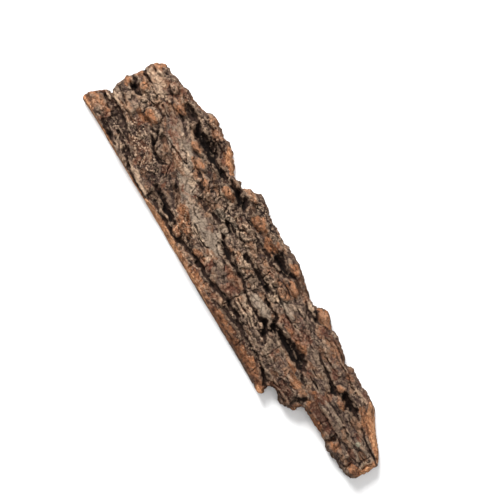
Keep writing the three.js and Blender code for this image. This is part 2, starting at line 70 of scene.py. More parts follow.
# The outline seen from above, anticlockwise: x, y and how far the top rim stands in from it.
OUTLINE = (
    # sawn lower edge, from the loose strip's end to the broken tongue
    (-119.6, -24.2, 1.5), (-112, -24.4, 1.5), (-104, -24.5, 2.0), (-95, -24.7, 1.6), (-85, -24.9, 1.2),
    (-75, -25.0, 1.0), (-65, -25.3, 1.0), (-57, -25.5, 1.6), (-50, -25.6, 3.2), (-42, -25.8, 3.6),
    (-34, -26.1, 3.2), (-27, -26.4, 2.6), (-15, -26.5, 2.4), (-3, -26.9, 2.4), (8, -27.1, 2.8),
    (18, -27.3, 3.0), (28, -27.5, 3.4), (38, -27.7, 3.4), (46, -27.9, 3.0), (51.5, -27.6, 1.8),
    (55.6, -28.2, 0.9), (57.2, -26.2, 0.7),
    # broken step
    (55.6, -24.2, 0.6), (55.1, -22.3, 0.7), (56.8, -19.9, 0.9), (58.6, -19.6, 1.2), (62.5, -20.3, 1.5),
    (66.9, -21.1, 1.3), (69.2, -19.4, 1.4), (73.1, -17.2, 1.2), (73.0, -14.2, 1.4), (74.8, -12.1, 1.6),
    (80.3, -12.4, 1.8), (85, -11.8, 1.8), (90, -11.4, 1.5), (94.3, -12.0, 1.3), (95.2, -11.0, 1.0),
    (98, -12.9, 1.5), (101.5, -13.5, 1.8), (107, -12.9, 1.8), (114.8, -12.5, 2.0),
    # blunt narrow end
    (118.4, -10.1, 2.0), (119.3, -7.3, 1.8), (118.8, -4.8, 1.6), (120, -2.2, 1.6), (119.5, 0.2, 1.6),
    (120, 3.5, 1.5),
    # sloping cut beside the narrow end
    (117, 6.3, 2.6), (113, 9.0, 3.8), (107.5, 11.2, 4.6), (100, 15.0, 5.2), (94.6, 18.0, 5.0),
    (91, 18.9, 3.2),
    # lumpy upper edge
    (86, 18.7, 1.8), (80, 18.5, 1.6), (75.8, 18.8, 1.5), (70.3, 18.5, 1.3), (68.6, 17.4, 1.2),
    (64, 18.6, 1.5), (58, 20.2, 1.5), (53.2, 21.3, 1.5), (49, 20.8, 1.8), (45.5, 22.2, 2.6),
    (41.2, 23.8, 2.8), (38, 22.4, 2.0), (35.4, 20.3, 1.0), (34.6, 19.3, 1.0), (30, 19.7, 1.3),
    (25, 20.2, 1.5), (20.5, 21.9, 1.6), (15, 23.5, 1.8), (8.3, 24.7, 1.8), (1, 24.2, 1.6),
    (-1.3, 23.4, 1.6), (-8, 23.9, 1.6), (-15, 24.5, 1.5), (-20, 25.5, 1.5), (-28, 26.6, 1.5),
    (-30.6, 24.8, 1.5), (-35.6, 22.1, 1.6), (-37, 20.2, 1.2), (-40, 20.5, 1.2), (-43.5, 19.7, 1.2),
    (-47.5, 22.2, 3.0), (-52.5, 24.9, 3.6), (-59, 27.0, 2.4), (-62, 26.2, 1.8), (-66, 27.0, 1.6),
    (-70, 26.8, 1.6), (-73.2, 28.5, 1.8), (-77, 27.0, 1.8), (-80, 24.7, 1.6), (-88, 23.4, 1.5),
    (-93, 23.6, 1.5), (-98, 21.9, 1.5), (-102, 22.0, 1.5), (-106, 20.7, 1.6), (-109, 20.9, 1.8),
    # broad end, with the slot beside the loose strip
    (-112.8, 18.8, 2.2), (-115, 15.0, 2.0), (-114.2, 10.2, 1.0), (-115, 6, 1.8), (-116.3, 0.5, 2.0),
    (-115.6, -5, 1.6), (-114, -8.6, 1.0), (-112.6, -10.2, 0.5), (-114.6, -11.2, 0.8), (-118, -15.3, 1.4),
    (-120, -20.5, 1.6),
)

# How thick the slab is along its length, as x and a share of the crown height.
THICKNESS = ((-122, 0.78), (-100, 0.9), (-60, 1), (-10, 1.06), (40, 1.02), (75, 0.9), (122, 0.7))

# Furrows: depth, how dark their painted shade is, and the line along the floor as x, y and half width.
FURROWS = (
    # broad end
    (3, 0.8, ((-113.5, -10.2, 0.4), (-106, -10.9, 0.4), (-100, -11.6, 0.5), (-95, -12.7, 0.7),
        (-90, -14.5, 0.6), (-86, -15.6, 0.4))),
    (3.2, 0.45, ((-117, -13.2, 0.7), (-108, -13.2, 1.1), (-101, -13.6, 1.2), (-95, -14, 0.9),
        (-92, -15, 0.5))),
    (3, 0.75, ((-95, -17.4, 0.4), (-88, -17.9, 0.6), (-83, -19.3, 0.8), (-79.5, -21.5, 0.7),
        (-75, -23, 0.5), (-67, -24.1, 0.4), (-59, -24.4, 0.5))),
    (3, 0.9, ((-104, -20.8, 0.4), (-98.6, -21.2, 0.7), (-94, -22.6, 1.2), (-90, -22.3, 0.5))),
    (4, 1, ((-115, 4.3, 0.5), (-111.6, 3.8, 0.9), (-109.6, 2, 1.8), (-106.4, 1.2, 1.5),
        (-102.5, 2.6, 0.5))),
    (3, 0.8, ((-114.6, 10.1, 0.4), (-110, 10.1, 0.4), (-105.5, 10.3, 0.3))),
    (3.4, 0.7, ((-87, 19.8, 0.5), (-84.4, 19, 1.2), (-81, 18.3, 1.5), (-78, 18.3, 1.2),
        (-75.6, 18.5, 0.9))),
    (7, 1, ((-75.4, 18.6, 1.0), (-72, 16.9, 2.0), (-67.6, 16.6, 2.7), (-62.4, 16.8, 2.9), (-58, 16.2, 2.0),
        (-54.6, 15.6, 1.3), (-50, 15.4, 0.9), (-44, 16.2, 0.7), (-39, 17.4, 0.9), (-36, 17.8, 1.4),
        (-32, 16.8, 2.1), (-28.5, 16.2, 1.7), (-26.4, 15.6, 0.6))),
    (2.2, 0.5, ((-86, -2.8, 0.5), (-82.6, -1.2, 1.3), (-80, -0.4, 1.0), (-76, 0.4, 0.4), (-71, 0.1, 0.3))),
    (3, 1, ((-82.6, -4, 0.6), (-79, -5.7, 1.0), (-75, -7.3, 0.9), (-70, -8.1, 0.7), (-67.4, -6, 0.5))),
    (2.5, 1, ((-55, 5.8, 0.3), (-50.6, 6, 0.4), (-48, 2.8, 0.5), (-44.5, 1.9, 0.6), (-42.5, 0.2, 0.7),
        (-36, -0.2, 0.6), (-33, 1.0, 0.6), (-28, 2.2, 0.5), (-25.4, 4.4, 1.0), (-22, 4.6, 1.2),
        (-19.6, 3.6, 0.6))),
    (4, 1, ((-60.5, -15.8, 0.7), (-55, -16.8, 1.3), (-49, -17.6, 1.2), (-43, -17.9, 1.0),
        (-39.5, -17.8, 0.6))),
    (3, 0.85, ((-54, -20.6, 0.5), (-48, -21.4, 0.6), (-41, -21.7, 0.7), (-36, -22.4, 0.8),
        (-32.5, -22, 0.7), (-31, -20, 0.7), (-27, -19.4, 0.5), (-23, -19, 0.4), (-18, -18.4, 0.7),
        (-14, -17.8, 0.9))),
    (2.6, 0.85, ((-12, -18.4, 0.7), (-4, -18, 0.8), (4, -17, 0.8), (9, -15.4, 1.0), (12, -16.8, 0.6),
        (16, -15.6, 0.9), (19, -17.4, 0.8), (25, -18, 0.7), (29, -18.6, 0.3))),
    (2, 0.7, ((9, -19, 0.5), (12, -18.6, 0.8), (17, -19.2, 0.4))),
    # middle
    (3.5, 1, ((-22, 0, 0.4), (-19.5, -1.2, 0.9), (-16, -2.6, 0.8), (-12, -3.5, 1.0), (-8, -3.8, 0.7),
        (-5, -3.6, 0.7), (-1, -3.4, 1.0), (2.4, -3.7, 0.6), (7, -5, 0.4), (11, -6.3, 0.3),
        (15, -7.1, 0.25), (21, -7.3, 0.25), (24.4, -6.6, 0.6), (27, -5.4, 1.1))),
    (4, 1, ((27, -5.4, 1.2), (30, -7.4, 0.9), (33, -10, 0.7), (36, -11.3, 0.3))),
    (6, 1, ((30.6, -3.4, 0.9), (35, -2.8, 1.6), (40, -2.4, 1.8), (46, -2.6, 1.5), (52, -2.2, 1.1),
        (57, -2.4, 0.6), (59.4, -3.6, 0.5), (62, -5.2, 0.6), (64.5, -5.6, 0.4))),
    (4.4, 0.85, ((37, -1.4, 0.8), (43, -0.8, 1.7), (49, -0.2, 2.1), (54, -0.4, 1.7), (58, -1.8, 0.7))),
    (3.5, 1, ((-6.5, 4.0, 0.6), (-2, 4.4, 0.9), (3, 4.1, 0.8), (9, 3.9, 0.9), (14, 4.8, 1.3),
        (17.6, 5.6, 0.6))),
    (2.5, 1, ((15.5, 1.6, 0.4), (20, 0.8, 0.6), (27, 1.4, 0.5), (29, -0.7, 0.7), (31, -2.8, 0.8))),
    (3.6, 1, ((-0.6, 16, 0.8), (3, 16.8, 1.9), (8, 16.8, 2.0), (12, 17.2, 1.4), (15.4, 18.5, 0.8))),
    (2, 1, ((-18, 13.4, 0.5), (-10, 13.5, 0.8), (-3, 14.0, 0.8), (4, 13.6, 0.6))),
    (3, 1, ((29.6, 17.6, 0.5), (33, 16, 0.7), (37, 15.8, 0.9), (40, 16.8, 0.9), (43, 17.6, 0.6))),
    (3, 1, ((34.6, 20.6, 0.7), (37, 19.4, 0.9), (40, 18.2, 0.6))),
    # narrow end
    (3.6, 1, ((55, 9.4, 0.3), (60, 8.1, 0.4), (66, 7.2, 0.6), (71, 6.3, 1.0), (75, 5.8, 1.4),
        (78, 6.4, 0.5))),
    (4.5, 0.8, ((78.6, 10.2, 0.9), (80.6, 9.6, 1.4), (83, 9.2, 0.8), (85.4, 7.8, 1.6), (87.6, 8, 1.2),
        (89, 9.2, 0.7), (91.6, 8.6, 1.3), (94.6, 8.8, 0.6))),
    (3, 1, ((98.5, 7.4, 0.4), (101, 6.9, 0.6), (103.4, 6.5, 0.3), (108, 5.5, 0.25), (113, 4.9, 0.25),
        (121, 3.6, 0.25))),
    (4, 0.8, ((44, -19.1, 0.5), (48, -19.5, 0.9), (52, -21.1, 1.0), (56, -23.8, 0.9))),
    (1.8, 0.3, ((72.4, -7.8, 0.6), (70.6, -10.5, 1.2), (69.2, -13.5, 1.0), (68.8, -16, 0.5))),
    (2.5, 0.45, ((94.2, -5.2, 0.3), (96, -7.2, 0.4), (95.8, -9.5, 0.5), (95, -11.6, 0.5))),
)

# Cracks that stand open between the furrows: the line as x and y, from end to end.
OPEN_CRACKS = (
    ((-115, -5.6), (-111, -5.4), (-107, -5.8), (-103, -6.9)),
    ((-113.7, -10.6), (-108, -10.4), (-103, -10.9)),
    ((-113.7, 10), (-109, 10.2), (-105.4, 9.9), (-102, 8.4), (-99.5, 9), (-97, 7.4)),
    ((-93.5, 8.4), (-89, 7.6), (-86, 7.9)),
    ((-85, 0.6), (-82, -2), (-80.4, -3.2), (-79.4, -5.2), (-76, -7.6), (-71, -7.8), (-68.6, -5.4)),
    ((-68.6, 2.4), (-65, 2.2), (-62, 3.2)),
    ((-89.3, -18.8), (-84, -20.4), (-78, -22), (-70, -23.8), (-60, -24.3)),
    ((-25.4, 10), (-22.2, 8), (-18.6, 8.4), (-16, 6.2), (-12.4, 6.8)),
    ((-21, 3.2), (-21.2, 0.6), (-20.4, -1.4)),
    ((-33.4, -9.6), (-28.6, -10.4), (-25, -11.2), (-21, -11), (-19.6, -10)),
    ((-39.6, -17.2), (-39, -20.6), (-35.6, -22.6), (-32.2, -21.6), (-31.8, -18.6)),
    ((3, -4.3), (3.8, -1.4), (3.2, 1.2)), ((8.8, -5), (8.6, -9), (8.4, -14), (8, -19.6)),
    ((6.7, 10.4), (6.9, 6.8), (7.6, 5.4)), ((16.2, 10.8), (19.6, 11.2), (21.6, 9.6)),
    ((15.2, 8.6), (18.6, 7.8), (22, 6.4), (25.4, 6.2), (29, 5), (33.4, 5.2)),
    ((16.3, 1.4), (22, 0.8), (28.6, 1.2), (30, -1), (31.4, -3.4)),
    ((9.6, -11), (14.6, -11.4), (19.6, -11), (24.2, -12)),
    ((30, -17.6), (35, -18.6), (40, -18.8), (44.6, -19.2)), ((61.7, -1.2), (65.6, -1.4), (69.5, -1.2)),
    ((60, 2.2), (63, 1.6), (65, 2)), ((72.6, 15.6), (76, 14.6), (78.6, 13.6), (80.4, 14.4)),
    ((54, 18.6), (60, 18), (67, 16.9)), ((93, 0), (96, -0.4), (98.2, -0.8)),
    ((95, -5.4), (97.4, -5.8), (99.6, -6.6)), ((58, -18.8), (63, -18.6), (67, -19.2)),
    ((105, 6), (112, 4.9), (119.6, 3.8)),
)

# Hairline cracks, given the same way.
HAIR_CRACKS = (
    ((-104, -9.2), (-98, -8.4), (-93, -9.8), (-88, -9.4), (-84, -10.6)),
    ((-96.6, 4), (-97.2, 0.6), (-95, -2.4), (-91, -3.2)),
    ((-100.5, 16.9), (-97, 15.2), (-94, 15), (-91.5, 12.4), (-86, 11.4), (-82, 12.2)),
    ((-101.2, 18.6), (-99.6, 15.6), (-97, 14.6), (-94.6, 16), (-94.2, 19)),
    ((-98, 4.6), (-96, 5.6), (-92, 5.8), (-88.4, 5.2), (-86.2, 2.6), (-87, -0.6)),
    ((-77, 1.6), (-70, 2.2), (-66, 1.2), (-60, 2.4)), ((-69, 5), (-66, 5.6), (-63, 3.6)),
    ((-66, 13.8), (-63, 10.6), (-62, 7.2), (-58, 6.3), (-52, 6)),
    ((-58, 6.3), (-57.2, 3.4), (-54.6, 1.6), (-50, 2.6)), ((-49, 0), (-48.4, -2.4), (-45.4, -2), (-40, -4)),
    ((-66.5, -3), (-63.6, -7), (-61.4, -9.6), (-62.4, -12)),
    ((-58, -5), (-54, -8.4), (-49, -11), (-44, -14.6), (-38, -15.6)),
    ((-96.4, -17.2), (-93.4, -19), (-92, -21.2)),
    ((-45.3, 5.8), (-44.2, 8.6), (-41.2, 9.8), (-38.2, 8.6), (-36.9, 5.6), (-38, 2.6), (-40.8, 1.4),
        (-43.9, 2.6), (-45.3, 5.8)),
    ((-43.6, 5.8), (-42, 7.8), (-39.6, 7.2), (-38.8, 5)),
    ((-33, 9.8), (-30.4, 7.4), (-27.6, 8.2), (-25.8, 5.4)),
    ((-37, 3.6), (-31, 3), (-27, 4.2), (-22.6, 3.8)),
    ((-22, 14), (-16, 14.4), (-10.4, 13.4), (-8.6, 12), (-4, 13)),
    ((-32, -11.2), (-27, -11.6), (-22.4, -12.6)), ((-41, -5.4), (-37, -6.6), (-33.6, -6)),
    ((-36.6, -15), (-33, -16.2), (-30.4, -14.4), (-26.2, -15.8)),
    ((-19, -6), (-14.4, -7.4), (-9.4, -7), (-6.4, -9.4)), ((-13, 8.4), (-12.4, 5.4), (-9.6, 4)),
    ((0.4, 12), (5, 11), (9.6, 11.6), (14.6, 10.2)),
    ((14.2, 12.6), (19, 12.8), (23, 11.6), (24.6, 8.8), (22.4, 7.4)),
    ((24.6, 13.6), (29.4, 11.6), (35, 11.4), (40, 12.4), (43.4, 10.8)),
    ((36.6, 6), (41, 8), (45, 9), (48.4, 7.4), (52, 8)),
    ((10, -13.2), (16.4, -13.6), (22, -13.2), (27.4, -14.2)),
    ((26.6, -16), (32.4, -15.8), (38.4, -16.6), (44.6, -16)),
    ((41.4, -5), (41, -8.2), (41.6, -12), (41, -17)), ((44, -21), (44.4, -24.4), (43.8, -27)),
    ((28.8, -19.6), (28.4, -23), (29, -26.6)), ((74, 1.6), (79.6, 0.2), (84, 1), (91, 0.6)),
    ((50, 16.4), (57, 16.6), (64, 15.2), (70, 15.4)), ((56, 11.6), (62, 11), (69, 11.8)),
    ((90.4, 4.4), (95, 3.4), (99.4, 4)), ((87.6, 13), (92, 11.4), (96, 10.2), (99.4, 9.8)),
    ((103, -0.8), (108, -0.6), (114.6, -0.6)), ((112.8, 2.6), (113, -1.6), (112.4, -5.4)),
    ((101, -4.4), (106, -5), (112.6, -4.8)), ((111.6, -6), (111.2, -9), (112.4, -12)),
    ((75, -5), (80, -5.8), (86, -5.4), (92.4, -6.4)), ((85.6, -5.4), (85.2, -8.4), (86, -11.4)),
    ((56, -16.4), (62, -16.8), (67.4, -16.2)), ((118.2, 1.6), (116.4, -0.6), (117, -3.6)),
)

# Bands where the slab was cut or split clean: the line as x, y and half width.
CUTS = (
    ((-119, -23, 0.8), (-110, -23.8, 0.6), (-100, -24, 1.0), (-84, -24.6, 0.5), (-60, -25, 0.6),
        (-54, -24.4, 1.8), (-40, -24.4, 1.9), (-26, -24.8, 1.3), (-10, -25.3, 0.8), (6, -26, 0.2)),
    ((52, -26.4, 0.3), (56, -26.8, 1.2)), ((118.4, 2.4, 1.2), (118.2, -4.4, 1.4)),
    ((90.6, 17.4, 0.8), (95, 15.2, 2.3), (104, 11.6, 2.8), (112, 8, 2.0), (118.6, 5, 0.8)),
    ((-57, 25.2, 1.2), (-52, 23, 2.3), (-46, 20, 1.3)),
)

# Lumps and plates that stand up from the outer face: x, y, half length, half width and height.
LUMPS = (
    # broad end
    (-112, -19.5, 7, 3.2, 1.8), (-110, 17.5, 6, 3, 2.2), (-105, 5.5, 3.5, 2.3, 1.6),
    (-113, 0.8, 3, 2.6, 1.6), (-101, -5, 5, 4, 1.6), (-97, 17.5, 3.5, 2.4, 1.6), (-91, 1.4, 6, 4, 2.2),
    (-88, 15, 7, 2, 2), (-84, 8, 14, 4, 1), (-75, -14, 12, 4, 1.4), (-74, 25.5, 5, 3, 2.6),
    (-66, 12.3, 5.5, 2.8, 2.4), (-62, 0.5, 10, 3, 1.2), (-60, 24, 9, 2.5, 1.6), (-58, 8.8, 6, 2.4, 1.5),
    # middle
    (-48, 6.2, 6, 3.2, 1.8), (-40, 12.6, 6, 2.8, 2.2), (-37, 5, 8, 4.4, 1.6), (-36, -15, 8, 2.8, 1.6),
    (-35, -7, 15, 5, 1.4), (-35, -20.3, 4, 2.2, 1.6), (-30, 21.8, 6, 3, 1.8), (-20, 9, 12, 4, 1.6),
    (-17, 19, 8, 3.6, 2.6), (-5, -12, 12, 5, 1), (-4, 20, 7, 2.8, 1.6), (0, 0.5, 8, 2.4, 1.2),
    (7, 9, 8, 3.2, 1.8), (12, 21, 6, 3, 2.4), (19, 15.5, 7, 2.4, 2), (19, -4.2, 10, 2.6, 1.3),
    (20, 9.5, 6, 3, 1.6), (20, -12, 12, 4, 1), (20, -22, 14, 3, 1.2), (34, 9, 12, 4.5, 1.2),
    (42, 21, 6, 3, 2.4), (44, -23, 9, 2.6, 1.2), (45, 5, 9, 2.6, 1.2), (50, -11, 12, 4.5, 1.2),
    # narrow end
    (62, 14, 14, 3.6, 1.6), (64, -10.5, 7, 3.5, 1.6), (76, 9, 3, 2.6, 2.6), (82, 4.5, 5, 2.2, 1.4),
    (88, -2, 16, 3.6, 1.2), (106, -8, 6, 3.2, 1.6), (110, 1, 8, 3, 0.9), (115, -8, 4.5, 3, 1.2),
)

# Smaller lumps that stand on these: x, y, half length, half width and height.
KNOBS = (
    (-106, 15, 4.6, 2.6, 0.9), (-97.4, 17.4, 3.2, 2.8, 1.2), (-88, 15, 5.4, 2.2, 0.9),
    (-76.4, 16.4, 2.4, 2, 1.6), (-67, 11.4, 4.2, 2.6, 1.0), (-41, 5.6, 4.4, 4.4, 1.3),
    (-91.6, 1.2, 4.6, 3.4, 1.1), (-106, 5.7, 2.6, 2.4, 1.0), (-74.6, -4.4, 4.8, 2.8, 1.3),
    (-102, -5.4, 5.4, 3.6, 0.9), (-58.4, 8.4, 4.4, 2, 0.7), (-47.8, 5.2, 3.2, 2.2, 0.9),
    (-38, 12.8, 4.8, 2.2, 0.9), (-58, -9.6, 2, 3.6, 0.7), (-66, -6, 3.4, 2.6, 0.6), (-86, -8, 3, 2.2, 0.6),
    (-90, -13, 3, 2, 0.6), (-74, -12, 3.4, 2.2, 0.7), (-29.6, 22.6, 4, 2.4, 1.0),
    (-16.4, 18.6, 5.2, 3.4, 0.8), (-36, -19.6, 3.4, 2.4, 0.9), (-43, -11, 4, 2.4, 0.6),
    (-20, -16.2, 5, 1.6, 0.7), (12, 21, 3.4, 2, 0.8), (19.6, 15.4, 4.6, 2, 0.8), (19, 10, 3.8, 2.2, 0.8),
    (34, 18.2, 5, 1.4, 0.9), (40, 21, 3.8, 2.2, 0.9), (3, 8, 3.2, 2, 0.6), (10.4, 7.6, 3, 1.8, 0.6),
    (-4.4, 8.6, 3, 2, 0.6), (28.6, 7.4, 5, 2, 0.6), (53.6, -6, 3, 1.8, 0.7), (76.4, 8.6, 2.4, 2.4, 1.0),
    (82, 4.8, 3.4, 1.6, 0.8), (96.4, 7, 2, 1.6, 0.8), (115, -8, 3.2, 2.2, 0.9), (99, -9.4, 3.4, 2.6, 0.6),
    (74.6, 16, 3, 1.8, 0.8), (107, 1.8, 5.4, 2.2, 0.5), (107, -2.8, 5.4, 1.8, 0.5), (-50, -22, 5, 1.6, 0.6),
    (20, -22, 9, 2.4, 0.7), (36, -22.6, 6, 2.6, 0.7),
)

# Shallow hollows beside the furrows: x, y, half length, half width and depth.
HOLLOWS = (
    (-60.4, 20.2, 6, 3.6, 3.0), (-83.4, 18.4, 5, 2.6, 1.8), (5.4, 17.6, 5.4, 3.6, 1.8),
    (-57, -20.6, 3.6, 2.4, 1.5), (15, -17.4, 9, 2.8, 1.4), (86.4, 8.8, 7.4, 2.8, 1.4),
    (70.6, -13, 2.8, 4.4, 1.2), (-52.6, -10, 5.4, 3.2, 1.1), (49, 0.2, 9, 1.8, 1.2),
    (-100, -17.6, 4, 5, 1.3), (-104, -12.2, 9, 1.6, 1.0), (-29.8, -14.6, 2, 3, 1.2),
    (38, 17, 3.6, 1.8, 1.0), (-34, 17, 4, 2.6, 1.2), (-109, 1.6, 2.6, 2.2, 1.0), (33, -8, 4.4, 3, 0.8),
    (-18, -19, 12, 1.8, 0.9), (84, -7.6, 10, 2.4, 0.6), (50.4, -19.8, 5, 2, 1.2), (-47, 11.8, 8, 2.6, 0.8),
)


class Skin(Enum):
    """What the outer face is like at a place. The order sets each kind's ragged border."""

    FRESH = "fresh"  # orange-brown cork, where the weathered skin has broken off
    CREAM = "cream"  # pale, warm
    ASH = "ash"  # pale, grey to greenish
    RUSSET = "russet"  # reddish brown
    DARK = "dark"  # umber: the bark's own dark patches, and painted shade in hollows and on furrow banks
    GRAINY = "grainy"  # crumbly granules
    CALM = "calm"  # a smooth plate with few cracks
    STREAKED = "streaked"  # fine ridges along the grain
    CRACKED = "cracked"  # broken into small blocks


